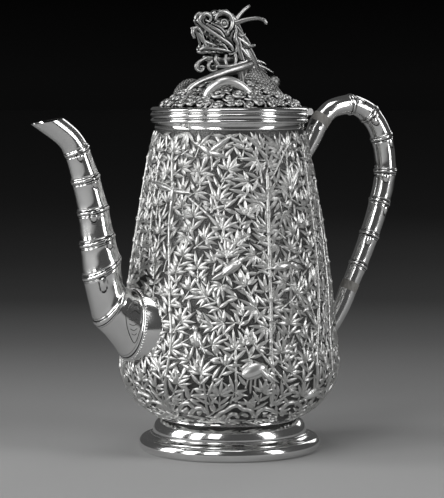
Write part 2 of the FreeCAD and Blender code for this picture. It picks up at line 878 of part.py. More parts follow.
def dragon_pieces(base):
    dome = filled_dome()
    neck = dragon_neck(dome, base)
    head = trimmed(shaped(head_rows), neck)
    jaw = trimmed(shaped(jaw_rows), neck, head)
    near = bent(near_limb, limb_radius, dome, base, neck)
    far = bent(far_limb, limb_radius, dome, base, neck, near)
    coil = bent(front_coil, coil_radius, dome, base, neck, near)
    tail = bent(tail_coil, tail_radius, dome, base, neck, far, coil)
    horns = dragon_horns(head)
    return {
        "dragon_neck": neck,
        "dragon_head": head,
        "dragon_jaw": jaw,
        "dragon_tongue": dragon_tongue(jaw, head, neck),
        "dragon_eyes": dragon_eyes(head),
        "dragon_horns": horns,
        "dragon_forelegs": Part.makeCompound([near, far]),
        "dragon_coil": coil,
        "dragon_tail": tail,
        "dragon_mane": dragon_mane(head, neck, jaw, horns, near, far),
        "dragon_beard": Part.makeCompound([bent(points, beard_radius, jaw) for points in beard_curls]),
    }


def main():
    os.makedirs("parts", exist_ok=True)
    pieces = pot_pieces()
    pieces.update(lid_pieces())
    pieces.update(dragon_pieces(pieces["cloud_base"]))
    for name, shape in pieces.items():
        shape.exportStep("parts/%s.step" % name)
        volumes = ", ".join("%.1f" % solid.Volume for solid in shape.Solids)
        print("%-22s valid %s, solids of %s mm3" % (name, shape.isValid(), volumes))


main()
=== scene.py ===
import json
import math
import random

import bmesh
import bpy
import numpy as np
from mathutils import Matrix, Vector, bvhtree, kdtree


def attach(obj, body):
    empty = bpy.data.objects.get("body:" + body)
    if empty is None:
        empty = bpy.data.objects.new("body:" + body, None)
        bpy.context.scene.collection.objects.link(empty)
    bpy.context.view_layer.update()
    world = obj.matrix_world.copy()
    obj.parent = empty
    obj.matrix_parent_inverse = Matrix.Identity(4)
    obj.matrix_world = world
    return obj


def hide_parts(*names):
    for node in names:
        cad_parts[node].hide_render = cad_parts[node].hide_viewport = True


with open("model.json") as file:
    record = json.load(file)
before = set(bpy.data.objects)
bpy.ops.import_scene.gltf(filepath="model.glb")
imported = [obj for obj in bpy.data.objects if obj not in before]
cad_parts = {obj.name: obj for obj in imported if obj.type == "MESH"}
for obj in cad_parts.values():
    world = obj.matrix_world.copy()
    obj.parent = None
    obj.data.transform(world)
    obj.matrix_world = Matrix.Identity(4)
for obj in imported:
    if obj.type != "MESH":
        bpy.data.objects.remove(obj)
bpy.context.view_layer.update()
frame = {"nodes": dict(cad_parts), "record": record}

# A silver coffee pot: chased bamboo body, bamboo spout and handle, hinged lid with a dragon.
# Values are in millimetres, in the frame of the CAD model. Meshes are made in metres.
MM = 0.001
draw = random.Random(11)

# The photograph's view
photo_width = 444
photo_height = 498
focal_pixels = 2212.0
camera_yaw = math.radians(-27.78)
camera_pitch = math.radians(4.44)
camera_aim = (0.469, 0.883)
camera_distance = 1150
camera_height = 194.0
camera_place = np.array([-camera_aim[0] * camera_distance, -camera_aim[1] * camera_distance, camera_height])
camera_azimuth = -118.0

# The body's outline, as in the CAD model
body_base = (33.4, 17.5)
belly = (56.6, 46.0)
neck = (38.4, 168.0)
mouth_level = 176.0
bowl_bulge = 5.8
taper_bulge = 1.9

# The lid's dome, as in the CAD model, and the dragon's arch in front of it
dome_edge = (34.5, 178.6)
dome_top = (7.0, 191.6)
dome_bulge = 1.2
arch_angle = math.radians(camera_azimuth)


# Curves and grids

def arc(start, end, bulge, steps):
    """Points of an arc in the (radius, level) plane, standing off its chord to the right of the way."""
    start = np.array(start, float)
    end = np.array(end, float)
    chord = end - start
    length = np.hypot(*chord)
    across = np.array([chord[1], -chord[0]]) / length
    if abs(bulge) < 1e-6:
        return [start + chord * k / steps for k in range(steps + 1)]
    radius = (length * length / 4 + bulge * bulge) / (2 * bulge)
    centre = (start + end) / 2 + across * (bulge - radius)
    first = math.atan2(*(start - centre)[::-1])
    last = math.atan2(*(end - centre)[::-1])
    turn = (last - first + math.pi) % (2 * math.pi) - math.pi
    points = []
    for k in range(steps + 1):
        angle = first + turn * k / steps
        points.append(centre + abs(radius) * np.array([math.cos(angle), math.sin(angle)]))
    return points


def spline(rows, steps):
    """Rows on a smooth curve through the given ones, with steps to each stretch."""
    rows = np.array(rows, float)
    ends = np.vstack([2 * rows[0] - rows[1], rows, 2 * rows[-1] - rows[-2]])
    result = []
    for i in range(len(rows) - 1):
        a, b, c, d = ends[i:i + 4]
        for k in range(steps):
            t = k / steps
            result.append(0.5 * (2 * b + (c - a) * t + (2 * a - 5 * b + 4 * c - d) * t ** 2
                                 + (3 * b - a - 3 * c + d) * t ** 3))
    result.append(rows[-1])
    return np.array(result)


def distances(points):
    """How far along a line of points each of them lies."""
    return np.concatenate([[0.0], np.cumsum(np.linalg.norm(np.diff(points, axis=0), axis=1))])


def headings(points):
    """The way that a line of points goes at each of them."""
    way = np.gradient(points, axis=0)
    return way / np.linalg.norm(way, axis=1)[:, None]


def row_at(distance, run, rows):
    """The row at a distance along a line, between the rows at the distances in run."""
    return np.array([np.interp(distance, run, column) for column in rows.T])


def grid_faces(rows, columns, closed_rows=False, closed_columns=True):
    faces = []
    for i in range(rows if closed_rows else rows - 1):
        for j in range(columns if closed_columns else columns - 1):
            a = i * columns + j
            b = i * columns + (j + 1) % columns
            c = (i + 1) % rows * columns + (j + 1) % columns
            d = (i + 1) % rows * columns + j
            faces.append((a, b, c, d))
    return faces


def tube_faces(rows, sides):
    """The faces of a tube of rings with both its ends closed."""
    last = (rows - 1) * sides
    faces = grid_faces(rows, sides)
    faces.append(tuple(range(sides))[::-1])
    faces.append(tuple(last + k for k in range(sides)))
    return faces


def join(parts):
    """One list of vertices and faces out of several."""
    verts = []
    faces = []
    for part_verts, part_faces in parts:
        base = len(verts)
        verts.extend(part_verts)
        faces.extend(tuple(base + k for k in face) for face in part_faces)
    return verts, faces


def lathe(profile, sides):
    """A closed profile of (radius, level) points turned round the pot's axis."""
    verts = []
    for radius, level in profile:
        for j in range(sides):
            angle = 2 * math.pi * j / sides
            verts.append((radius * math.cos(angle), radius * math.sin(angle), level))
    return verts, grid_faces(len(profile), sides, closed_rows=True)


# Rings of a bar's rounded end: share of the radius, and place along the bar in radii
bar_end = [(0.04, -1.0), (0.55, -0.83), (0.87, -0.5)]


def bar(points, radii, sides=10):
    """A round bar with rounded ends along a line of places."""
    points = np.array(points, float)
    radii = np.array(radii, float)
    way = headings(points)
    stations = [(points[0] + way[0] * radii[0] * k, radii[0] * s, way[0]) for s, k in bar_end]
    stations += list(zip(points, radii, way))
    stations += [(points[-1] - way[-1] * radii[-1] * k, radii[-1] * s, way[-1]) for s, k in bar_end[::-1]]
    side = np.array([0.0, 0.0, 1.0]) if abs(way[0][2]) < 0.9 else np.array([1.0, 0.0, 0.0])
    verts = []
    for place, radius, along in stations:
        side = side - along * side.dot(along)
        side /= np.linalg.norm(side)
        other = np.cross(along, side)
        for k in range(sides):
            angle = 2 * math.pi * k / sides
            verts.append(place + radius * (side * math.cos(angle) + other * math.sin(angle)))
    return verts, tube_faces(len(stations), sides)


thinnest_strand = 0.06


def strand(rows, sides=8, steps=6):
    """A tapering bar on a smooth curve. Each row is x, y, z, radius."""
    smooth = spline(rows, steps)
    return bar(smooth[:, :3], np.maximum(smooth[:, 3], thinnest_strand), sides)


def ball(centre, size, sides=16):
    """An egg shape. Size is three half lengths."""
    rows = sides // 2 + 1
    verts = []
    for i in range(rows):
        high = math.pi * (0.01 + 0.98 * i / (rows - 1))
        for j in range(sides):
            angle = 2 * math.pi * j / sides
            ring = math.sin(high)
            place = np.array([ring * math.cos(angle), ring * math.sin(angle), -math.cos(high)])
            verts.append(np.array(centre) + place * np.array(size))
    return verts, tube_faces(rows, sides)


# Meshes and pieces

def solid_mesh(name, verts, faces, weld=0.002, sharp=50):
    """A smooth-shaded mesh in metres with its faces outward."""
    mesh = bpy.data.meshes.new(name)
    mesh.from_pydata([tuple(float(c) * MM for c in v) for v in verts], [], faces)
    work = bmesh.new()
    work.from_mesh(mesh)
    bmesh.ops.remove_doubles(work, verts=work.verts, dist=weld * MM)
    bmesh.ops.recalc_face_normals(work, faces=work.faces)
    work.to_mesh(mesh)
    work.free()
    mesh.polygons.foreach_set("use_smooth", [True] * len(mesh.polygons))
    mesh.set_sharp_from_angle(angle=math.radians(sharp))
    return mesh


def store_shade_and_tarnish(mesh, values):
    layer = mesh.attributes.get("shade_and_tarnish") or mesh.attributes.new("shade_and_tarnish", "FLOAT", "POINT")
    layer.data.foreach_set("value", values)


def face_outward(mesh, top_up=False):
    """Turns the faces outward. With top_up the highest face tells which way that is."""
    work = bmesh.new()
    work.from_mesh(mesh)
    bmesh.ops.recalc_face_normals(work, faces=work.faces)
    if top_up and max(work.faces, key=lambda face: face.calc_center_median().z).normal.z < 0:
        bmesh.ops.reverse_faces(work, faces=work.faces)
    work.to_mesh(mesh)
    work.free()


def unit_shape(name, verts, faces, shade_and_tarnish, top_up=False):
    """A small shape about one unit in size, to be set many times, with tarnish and painted shade for each
    vertex.
    """
    mesh = bpy.data.meshes.new(name)
    mesh.from_pydata([tuple(v) for v in verts], [], faces)
    if top_up:
        face_outward(mesh, top_up)
    store_shade_and_tarnish(mesh, shade_and_tarnish)
    mesh.polygons.foreach_set("use_smooth", [True] * len(mesh.polygons))
    return mesh


# Tarnish and painted shade: the value on a plain place, and how fast it grows in a recess
plain_shade_and_tarnish = 0.25
hollow_shade_and_tarnish = 4.0


def add_shade_and_tarnish(mesh, reach, gain=1.0):
    """Stores how hollow each place is, from 0 on edges to 1 in recesses, for the tarnish and painted shade
    there.
    """
    count = len(mesh.vertices)
    places = np.zeros(count * 3)
    normals = np.zeros(count * 3)
    edges = np.zeros(len(mesh.edges) * 2, dtype=np.int64)
    mesh.vertices.foreach_get("co", places)
    mesh.vertices.foreach_get("normal", normals)
    mesh.edges.foreach_get("vertices", edges)
    places = places.reshape(-1, 3)
    normals = normals.reshape(-1, 3)
    a, b = edges.reshape(-1, 2).T
    step = places[b] - places[a]
    length = np.maximum(np.linalg.norm(step, axis=1), 1e-9)
    rise_a = np.einsum("ij,ij->i", step, normals[a]) / length
    rise_b = np.einsum("ij,ij->i", -step, normals[b]) / length
    links = np.bincount(a, minlength=count) + np.bincount(b, minlength=count)
    links = np.maximum(links, 1)
    hollow = (np.bincount(a, rise_a, count) + np.bincount(b, rise_b, count)) / links
    for _ in range(reach):
        spread = np.bincount(a, hollow[b], count) + np.bincount(b, hollow[a], count)
        hollow = 0.5 * hollow + 0.5 * spread / links
    store_shade_and_tarnish(mesh, np.clip(plain_shade_and_tarnish + hollow * hollow_shade_and_tarnish * gain, 0.0, 1.0))


def link(name, mesh):
    piece = bpy.data.objects.new(name, mesh)
    bpy.context.scene.collection.objects.link(piece)
    return piece


def finished(name, mesh, material, body, stands_for=()):
    """A piece of the pot: its material, the body it moves with and the solids it stands for."""
    mesh.materials.clear()
    mesh.materials.append(material)
    piece = link(name, mesh)
    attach(piece, body)
    if stands_for:
        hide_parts(*stands_for)
    return piece


def turned_piece(name, profile, material, body, stands_for=(), sides=192):
    mesh = solid_mesh(name, *lathe(profile, sides), sharp=40)
    add_shade_and_tarnish(mesh, reach=1, gain=0.6)
    return finished(name, mesh, material, body, stands_for)


def evaluated(name, piece):
    """The piece's mesh with its modifiers in it. The piece itself goes."""
    bpy.context.view_layer.update()
    graph = bpy.context.evaluated_depsgraph_get()
    mesh = bpy.data.meshes.new_from_object(piece.evaluated_get(graph))
    mesh.name = name
    old = piece.data
    bpy.data.objects.remove(piece)
    if old.users == 0:
        bpy.data.meshes.remove(old)
    return mesh


def fused(name, parts, grain, smooth=2):
    """Modelled parts melted into one skin, as in a casting."""
    mesh = solid_mesh(name, *join(parts))
    piece = link(name, mesh)
    melt = piece.modifiers.new("melt", "REMESH")
    melt.mode = "VOXEL"
    melt.voxel_size = grain * MM
    ease = piece.modifiers.new("ease", "SMOOTH")
    ease.iterations = smooth
    ease.factor = 0.5
    result = evaluated(name, piece)
    result.polygons.foreach_set("use_smooth", [True] * len(result.polygons))
    return result


# Materials

def shader(name):
    material = bpy.data.materials.new(name)
    material.use_nodes = True
    nodes = material.node_tree.nodes
    surface = nodes["Principled BSDF"]
    return material, nodes, material.node_tree.links, surface


def noise(nodes, links, scale, detail=4.0, stretch=(1, 1, 1)):
    place = nodes.new("ShaderNodeTexCoord")
    mapping = nodes.new("ShaderNodeMapping")
    mapping.inputs["Scale"].default_value = stretch
    texture = nodes.new("ShaderNodeTexNoise")
    texture.inputs["Scale"].default_value = scale
    texture.inputs["Detail"].default_value = detail
    links.new(place.outputs["Object"], mapping.inputs["Vector"])
    links.new(mapping.outputs["Vector"], texture.inputs["Vector"])
    return texture.outputs["Fac"]


def spread(nodes, links, value, low, high, to_low, to_high):
    ranged = nodes.new("ShaderNodeMapRange")
    ranged.inputs["From Min"].default_value = low
    ranged.inputs["From Max"].default_value = high
    ranged.inputs["To Min"].default_value = to_low
    ranged.inputs["To Max"].default_value = to_high
    links.new(value, ranged.inputs["Value"])
    return ranged.outputs["Result"]


def blended(nodes, links, factor, first, second):
    mix = nodes.new("ShaderNodeMix")
    mix.data_type = "RGBA"
    links.new(factor, mix.inputs["Factor"])
    for socket, value in ((mix.inputs[6], first), (mix.inputs[7], second)):
        if hasattr(value, "is_linked"):
            links.new(value, socket)
        else:
            socket.default_value = (*value, 1.0)
    return mix.outputs[2]


def worked_out(nodes, links, operation, *values):
    """The result of a sum on numbers and on what other nodes give."""
    maths = nodes.new("ShaderNodeMath")
    maths.operation = operation
    for socket, value in zip(maths.inputs, values):
        if hasattr(value, "is_linked"):
            links.new(value, socket)
        else:
            socket.default_value = value
    return maths.outputs[0]


def uneven_surface(nodes, links, surface, height, strength, distance):
    bump = nodes.new("ShaderNodeBump")
    bump.inputs["Strength"].default_value = strength
    bump.inputs["Distance"].default_value = distance
    links.new(height, bump.inputs["Height"])
    links.new(bump.outputs["Normal"], surface.inputs["Normal"])


def silver(name, bright, shade_and_tarnish_colour, rough, dark_from, dark_to, wear=0.0):
    """Silver with tarnish and painted shade in its recesses, clouded gloss and fine rubbing marks."""
    material, nodes, links, surface = shader(name)
    surface.inputs["Metallic"].default_value = 1.0
    # Darker in recesses: tarnish with painted shade, read from the stored hollow value
    shade_and_tarnish = nodes.new("ShaderNodeAttribute")
    shade_and_tarnish.attribute_name = "shade_and_tarnish"
    cloud = noise(nodes, links, 90.0)
    fine = noise(nodes, links, 900.0, 2.0)
    uneven = worked_out(nodes, links, "MULTIPLY_ADD", cloud, 0.25, -0.125)
    depth = worked_out(nodes, links, "ADD", shade_and_tarnish.outputs["Fac"], uneven)
    dark = spread(nodes, links, depth, dark_from, dark_to, 0.0, 1.0)
    clouded = spread(nodes, links, cloud, 0.35, 0.7, 0.0, 1.0)
    tint = blended(nodes, links, clouded, bright, tuple(c * 0.93 for c in bright))
    links.new(blended(nodes, links, dark, tint, shade_and_tarnish_colour), surface.inputs["Base Color"])
    gloss = spread(nodes, links, cloud, 0.3, 0.75, rough, rough + 0.07)
    links.new(worked_out(nodes, links, "MULTIPLY_ADD", dark, 0.3, gloss), surface.inputs["Roughness"])
    uneven_surface(nodes, links, surface, fine, 0.05 + wear, 0.0002)
    return material


def matted_silver(name):
    """The punched ground behind the bamboo: dark, with small round dents close together."""
    material, nodes, links, surface = shader(name)
    surface.inputs["Metallic"].default_value = 1.0
    place = nodes.new("ShaderNodeTexCoord")
    dents = nodes.new("ShaderNodeTexVoronoi")
    dents.inputs["Scale"].default_value = 1500.0
    links.new(place.outputs["Object"], dents.inputs["Vector"])
    cloud = noise(nodes, links, 70.0)
    # Each dent darkens towards its middle: tarnish with painted shade in the dents
    ring = spread(nodes, links, dents.outputs["Distance"], 0.1, 0.6, 0.0, 1.0)
    colour = blended(nodes, links, ring, (0.035, 0.035, 0.035), (0.13, 0.13, 0.128))
    clouded = spread(nodes, links, cloud, 0.3, 0.7, 0.0, 0.5)
    shade = blended(nodes, links, clouded, colour, (0.025, 0.025, 0.025))
    links.new(shade, surface.inputs["Base Color"])
    links.new(spread(nodes, links, cloud, 0.3, 0.7, 0.38, 0.52), surface.inputs["Roughness"])
    uneven_surface(nodes, links, surface, dents.outputs["Distance"], 0.7, 0.0003)
    return material


def old_bone(name):
    """Aged bone: muted, with fine streaks along the grain and a low gloss."""
    material, nodes, links, surface = shader(name)
    streaks = noise(nodes, links, 500.0, 4.0, (1, 1, 0.15))
    cloud = noise(nodes, links, 120.0)
    streaked = spread(nodes, links, streaks, 0.35, 0.7, 0.0, 1.0)
    grain = blended(nodes, links, streaked, (0.2, 0.194, 0.182), (0.32, 0.31, 0.292))
    clouded = spread(nodes, links, cloud, 0.4, 0.75, 0.0, 0.6)
    shade = blended(nodes, links, clouded, grain, (0.16, 0.154, 0.143))
    links.new(shade, surface.inputs["Base Color"])
    links.new(spread(nodes, links, cloud, 0.3, 0.7, 0.35, 0.5), surface.inputs["Roughness"])
    uneven_surface(nodes, links, surface, streaks, 0.15, 0.0002)
    return material


# Each silver: colour, colour of its tarnish and painted shade, roughness, where that dark starts and ends,
# wear
polished = silver("polished silver", (0.84, 0.84, 0.835), (0.03, 0.03, 0.03), 0.10, 0.4, 0.8)
chased = silver("chased silver", (0.61, 0.61, 0.6), (0.02, 0.02, 0.02), 0.38, 0.4, 0.75, 0.1)
burnished = silver("burnished silver", (0.86, 0.86, 0.85), (0.03, 0.03, 0.03), 0.3, 0.35, 0.8, 0.06)
cast = silver("cast silver", (0.47, 0.47, 0.465), (0.008, 0.008, 0.008), 0.3, 0.14, 0.36, 0.4)
# Darker than the cast silver, with less gloss: for the dragon's coils and scales, and for the hinge
darker_cast = silver("darker cast silver", (0.33, 0.33, 0.325), (0.008, 0.008, 0.008), 0.4, 0.14, 0.4, 0.45)
satin = silver("satin silver", (0.62, 0.62, 0.615), (0.15, 0.15, 0.15), 0.32, 0.5, 0.9, 0.06)
# Near black, for the engraved lines: tarnish with painted shade of their grooves
groove_shade_and_tarnish = silver("silver with tarnish and painted groove shade", (0.09, 0.09, 0.088), (0.02, 0.02, 0.02), 0.34, 0.5, 0.9)
ground = matted_silver("matted silver")
bone = old_bone("old bone")


# Places on the body

body_outline = arc(body_base, belly, bowl_bulge, 40) + arc(belly, neck, taper_bulge, 80)[1:]
body_outline = np.array(body_outline + [np.array((neck[0], mouth_level))])
outline_run = distances(body_outline)


def body_run(level):
    """The distance along the body's outline from its base to a level."""
    return float(np.interp(level, body_outline[:, 1], outline_run))


def body_point(run):
    """The radius and the level at a distance along the body's outline."""
    return row_at(run, outline_run, body_outline)


def body_radius(level):
    return float(np.interp(level, body_outline[:, 1], body_outline[:, 0]))


def body_frame(angle, run):
    """The place, the way round, the way up and the way out at a spot on the body."""
    radius, level = body_point(run)
    ahead = body_point(run + 0.5) - body_point(run - 0.5)
    ahead /= np.hypot(*ahead)
    c, s = math.cos(angle), math.sin(angle)
    east = np.array([-s, c, 0.0])
    north = np.array([ahead[0] * c, ahead[0] * s, ahead[1]])
    out = np.array([ahead[1] * c, ahead[1] * s, -ahead[0]])
    return np.array([radius * c, radius * s, level]), east, north, out


def sight(px, py):
    """The way that the camera looks through a pixel of the photograph."""
    ahead = np.array([-math.sin(camera_yaw), math.cos(camera_yaw), 0.0])
    right = np.array([math.cos(camera_yaw), math.sin(camera_yaw), 0.0])
    up = np.array([0.0, 0.0, 1.0])
    forward = ahead * math.cos(camera_pitch) - up * math.sin(camera_pitch)
    above = ahead * math.sin(camera_pitch) + up * math.cos(camera_pitch)
    way = forward * focal_pixels + right * (px - photo_width / 2) + above * (photo_height / 2 - py)
    return way / np.linalg.norm(way)


# How far from the camera the body's near side lies, and the step of the search for it
near_reach = 1060.0
far_reach = 1165.0
reach_step = 0.25


def on_body(px, py):
    """The angle and run on the body that a pixel of the photograph shows, or the nearest to it."""
    way = sight(px, py)
    best = None
    for step in np.arange(near_reach, far_reach, reach_step):
        place = camera_place + way * step
        gap = math.hypot(place[0], place[1]) - body_radius(place[2])
        if best is None or gap < best[0]:
            best = (gap, place)
        if gap <= 0:
            break
    place = best[1]
    return math.atan2(place[1], place[0]), body_run(place[2])


# The chased relief

relief_low = body_run(18.6)
relief_high = body_run(166.8)

# A map of the body's surface that tells which ground is taken
map_columns = 1120
map_cell = 0.3
map_margin = 4
relief_mark = 1
fitting_mark = 2
taken = np.zeros((int((relief_high + map_margin) / map_cell) + 2, map_columns), dtype=np.int16)


def cells(angle, run):
    rows = np.clip((np.asarray(run) / map_cell).astype(int), 0, taken.shape[0] - 1)
    columns = (np.asarray(angle) / (2 * math.pi) * map_columns).astype(int) % map_columns
    return rows, columns


def offset(angle, run, across, up):
    """A spot that lies across and up from another one, in millimetres along the body."""
    new_run = run + up
    radius = np.interp(new_run, outline_run, body_outline[:, 0])
    return angle + across / radius, new_run


def along_way(angle, run, way, distance):
    """The spot at a distance from another one along a way."""
    return offset(angle, run, distance * math.cos(way), distance * math.sin(way))


leaf_margin = 1.4


def leaf_spots(angle, run, way, length, width):
    """Spots that a leaf and the margin beside it cover, away from its root."""
    along, side = np.meshgrid(np.linspace(0.22, 1.0, 9), np.linspace(-0.5, 0.5, 4))
    swell = np.sin(np.pi * np.clip(along, 0.05, 0.97) ** 0.8)
    x = along.ravel() * length
    y = (side * swell * width * leaf_margin).ravel()
    c, s = math.cos(way), math.sin(way)
    return offset(angle, run, x * c - y * s, x * s + y * c)


def claim(angles, runs, mark=relief_mark):
    """Marks ground as taken."""
    rows, columns = cells(angles, runs)
    taken[rows, columns] = mark


def free_share(angles, runs):
    """The share of the spots that lie on free ground, or none where some leave the relief."""
    if np.max(runs) > relief_high or np.min(runs) < relief_low:
        return 0.0
    rows, columns = cells(angles, runs)
    return float(np.mean(taken[rows, columns] == 0))


# What is set on the body: the place, turn and size of each form, and the meshes of the stems
leaves = []
wings = []
bird_bodies = []
stems = []


def put_leaf(store, angle, run, way, length, width, height):
    """Keeps a leaf: its middle, its turn and its size."""
    middle = along_way(angle, run, way, 0.5 * length)
    place, east, north, out = body_frame(*middle)
    along = east * math.cos(way) + north * math.sin(way)
    side = np.cross(out, along)
    turn = Matrix((along, side, out)).transposed().to_euler("XYZ")
    store.append((place, tuple(turn), (length, width, height)))


def try_leaf(angle, run, way, length, width, need):
    """Sets a leaf where enough of its ground is free."""
    spots = leaf_spots(angle, run, way, length, width)
    if free_share(*spots) >= need:
        claim(*spots)
        put_leaf(leaves, angle, run, way, length, width, draw.uniform(0.8, 1.25))


# Turns round a stem's section, in half circles from the way out, with the open side in the body
stem_turns = [-0.62, -0.4, -0.2, 0.0, 0.2, 0.4, 0.62]
stem_step = 0.7
joint_swell = 0.4
joint_width = 0.7


def stem(spots, radius, joint_gap):
    """A culm, twig or line over the body, with raised joints. Spots are angles and runs."""
    rows = spline(spots, 8)
    for angle, run in rows:
        shifts = np.linspace(-0.6 * radius, 0.6 * radius, 5)
        for a, b in ((shifts, 0 * shifts), (0 * shifts, shifts)):
            claim(*offset(angle, run, a, b))
    frames = [body_frame(angle, run) for angle, run in rows]
    places = np.array([f[0] for f in frames])
    outs = np.array([f[3] for f in frames])
    way = headings(places)
    run_along = distances(places)
    fine = np.arange(0.0, run_along[-1], stem_step)
    verts = []
    for d in fine:
        place = row_at(d, run_along, places)
        out = row_at(d, run_along, outs)
        side = np.cross(out, row_at(d, run_along, way))
        near = abs((d + joint_gap / 2) % joint_gap - joint_gap / 2)
        joint = 1.0 + joint_swell * math.exp(-(near / joint_width) ** 2)
        swell = radius * joint * min(1.0, 0.35 + (run_along[-1] - d) / 3)
        for share in stem_turns:
            turn = share * math.pi
            verts.append(place + swell * (side * math.sin(turn) + out * (math.cos(turn) * 1.15 + 0.1)))
    columns = len(stem_turns)
    faces = grid_faces(len(fine), columns, closed_columns=False)
    faces.append(tuple(range(columns)))
    faces.append(tuple((len(fine) - 1) * columns + k for k in range(columns)))
    stems.append((verts, faces))


def shown(points):
    """The spots on the body that pixels of the photograph show."""
    return [on_body(px, py) for px, py in points]


# Culms and twigs on the near side, each from the root up, as pixels of the photograph
near_culms = [
    [(171, 410), (171, 350), (170.5, 300), (170, 262), (170, 222), (173, 193), (173, 152)],
    [(173, 408), (166, 388), (159, 368), (153, 354)],
    [(208, 413), (205, 392), (200, 362), (197, 350)],
    [(228, 338), (216, 316), (205, 296), (195, 278)],
    [(227, 258), (223, 229), (215, 200), (208, 177)],
    [(271, 404), (271, 350), (270.5, 300), (269, 266), (267.5, 200), (267, 172)],
    [(236, 401), (236, 375), (235.7, 348)],
    [(290, 391), (268, 362), (241, 328)],
    [(267, 326), (250, 300), (233, 273)],
    [(319, 332), (308, 314), (296, 293)],
    [(262, 183), (257, 160), (247, 143), (239, 133)],
    [(270, 180), (286, 148), (296, 141)],
    [(310, 402), (316, 360), (318, 300), (314, 240), (306, 180), (301, 140)],
    [(325, 390), (329, 340), (326, 280), (319, 220), (311, 160)],
    [(143, 388), (151, 392), (164, 410)],
    [(222, 228), (204, 211), (188, 197)],
    [(150, 260), (152, 220), (157, 180), (161, 150)],
]
# Sprays of leaves: pixel at the end of the twig, aim in degrees with 0 to the right and 90 up, leaf length
near_sprays = [
    (189, 132, 270, 7.5), (174, 152, 90, 6.5), (160, 150, 95, 6), (200, 174, 95, 6.5), (194, 217, 90, 7.5),
    (223, 229, 85, 8), (227, 256, 95, 8), (183, 256, 70, 7.5), (158, 205, 95, 6.5), (160, 233, 90, 6.5),
    (239, 134, 110, 7), (257, 160, 175, 8), (267, 200, 90, 9), (259, 203, 195, 8), (268, 231, 90, 8.5),
    (269, 267, 110, 8.5), (286, 147, 80, 7.5), (289, 188, 92, 11), (236, 245, 60, 8), (282, 213, 280, 6.5),
    (305, 226, 100, 7.5), (311, 248, 140, 7), (170.5, 295, 90, 8), (181, 321, 60, 8), (171, 349, 45, 8),
    (208, 297, 150, 8), (224, 323, 180, 8), (178, 384, 60, 8), (201, 374, 85, 8), (159, 369, 110, 8),
    (153, 356, 90, 7), (289, 324, 80, 9), (256, 308, 180, 8.5), (296, 294, 40, 8.5), (266, 327, 205, 8),
    (306, 361, 100, 8), (280, 353, 95, 8), (235, 349, 90, 7.5), (262, 392, 80, 7), (220, 395, 85, 7.5),
    (245, 345, 110, 7), (296, 141, 60, 6), (212, 150, 300, 6), (246, 215, 60, 7), (248, 182, 200, 7),
    (219, 200, 60, 7), (205, 240, 40, 7), (290, 250, 70, 7), (247, 285, 110, 7), (222, 285, 250, 7),
    (190, 290, 60, 7), (190, 360, 110, 7), (300, 395, 90, 7), (142, 380, 90, 7), (155, 262, 90, 7),
    (318, 330, 120, 7), (322, 290, 110, 7), (300, 175, 95, 7), (310, 200, 95, 6.5), (228, 170, 60, 7),
    (182, 168, 40, 6.5), (186, 236, 250, 6.5), (255, 255, 200, 6.5), (212, 345, 20, 7), (255, 348, 60, 7),
    (290, 372, 60, 7),
]


def feather(store, start, end, width, height):
    """A smooth form of a bird between two pixels of the photograph, with room round it."""
    angle, run = on_body(*start)
    end_angle, end_run = on_body(*end)
    radius = body_point((run + end_run) / 2)[0]
    across = (end_angle - angle) * radius
    up = end_run - run
    length = math.hypot(across, up)
    way = math.atan2(up, across)
    root = along_way(angle, run, way, -0.6)
    claim(*leaf_spots(*root, way, length + 2.0, width + 2.4))
    put_leaf(store, angle, run, way, length, width, height)


# Wings, tails and beaks of the birds, each between two pixels with a width and a height in millimetres
wing_forms = [
    ((210, 152), (232, 136), 4.2, 2.6), ((209, 152), (229, 158.5), 3.6, 2.4),
    ((208, 154), (202, 171), 3.0, 2.2), ((206, 150), (193, 141), 2.2, 2.2),
    ((176, 191), (155, 181), 3.8, 2.4), ((174, 191), (193, 193.5), 3.4, 2.4),
    ((174, 196), (171.5, 218), 3.0, 2.2), ((239, 262), (221, 276), 3.4, 3.3),
    ((226, 271), (211, 280), 2.6, 2.0), ((243, 258.5), (249, 256), 1.3, 1.8),
    ((288, 266), (271, 269), 3.0, 2.8), ((276, 267), (264, 270), 2.0, 1.8),
    ((295, 270), (297.5, 279), 1.5, 1.8), ((290, 189), (286, 165), 3.0, 2.2),
    ((290, 190), (298, 166), 3.0, 2.2), ((198, 336), (203, 349), 2.6, 3.2),
    ((200, 344), (206, 355), 2.2, 1.8), ((194, 328), (189.5, 330), 1.2, 1.8),
    ((257, 367), (273, 383), 3.6, 2.6), ((262, 371), (279, 383), 2.6, 2.0),
    ((240, 381), (236, 388), 1.1, 1.6), ((309, 391), (321, 397), 2.8, 2.4),
]
# Round bodies and heads of the birds and cranes
body_forms = [
    ((213, 156), (200, 145), 4.0, 3.0), ((201, 146.5), (197, 142), 2.6, 2.6),
    ((175, 186), (174, 203), 4.2, 3.0), ((175.5, 188), (175.5, 181.5), 2.6, 2.6),
    ((222, 274), (242, 260), 6.0, 2.8), ((239, 261.5), (245, 257), 3.2, 3.0),
    ((272, 268.5), (291, 264), 5.0, 2.5), ((289, 263), (298, 269), 3.6, 2.7),
    ((290, 184), (290, 193), 3.2, 2.4),
    ((199, 347), (196, 330), 5.0, 2.8), ((197, 332), (194, 325), 3.3, 2.9),
    ((241.5, 376), (266, 366), 8.2, 2.4), ((303, 397), (319, 389), 6.0, 2.2),
]
# Legs and necks of the cranes, as pixels
crane_lines = [
    [(251, 379), (250.5, 386), (250, 394)], [(255, 378), (255, 386), (256, 393)],
    [(306, 394), (304, 386), (299, 377), (292, 375), (286, 377)], [(311, 397), (310, 405)],
]
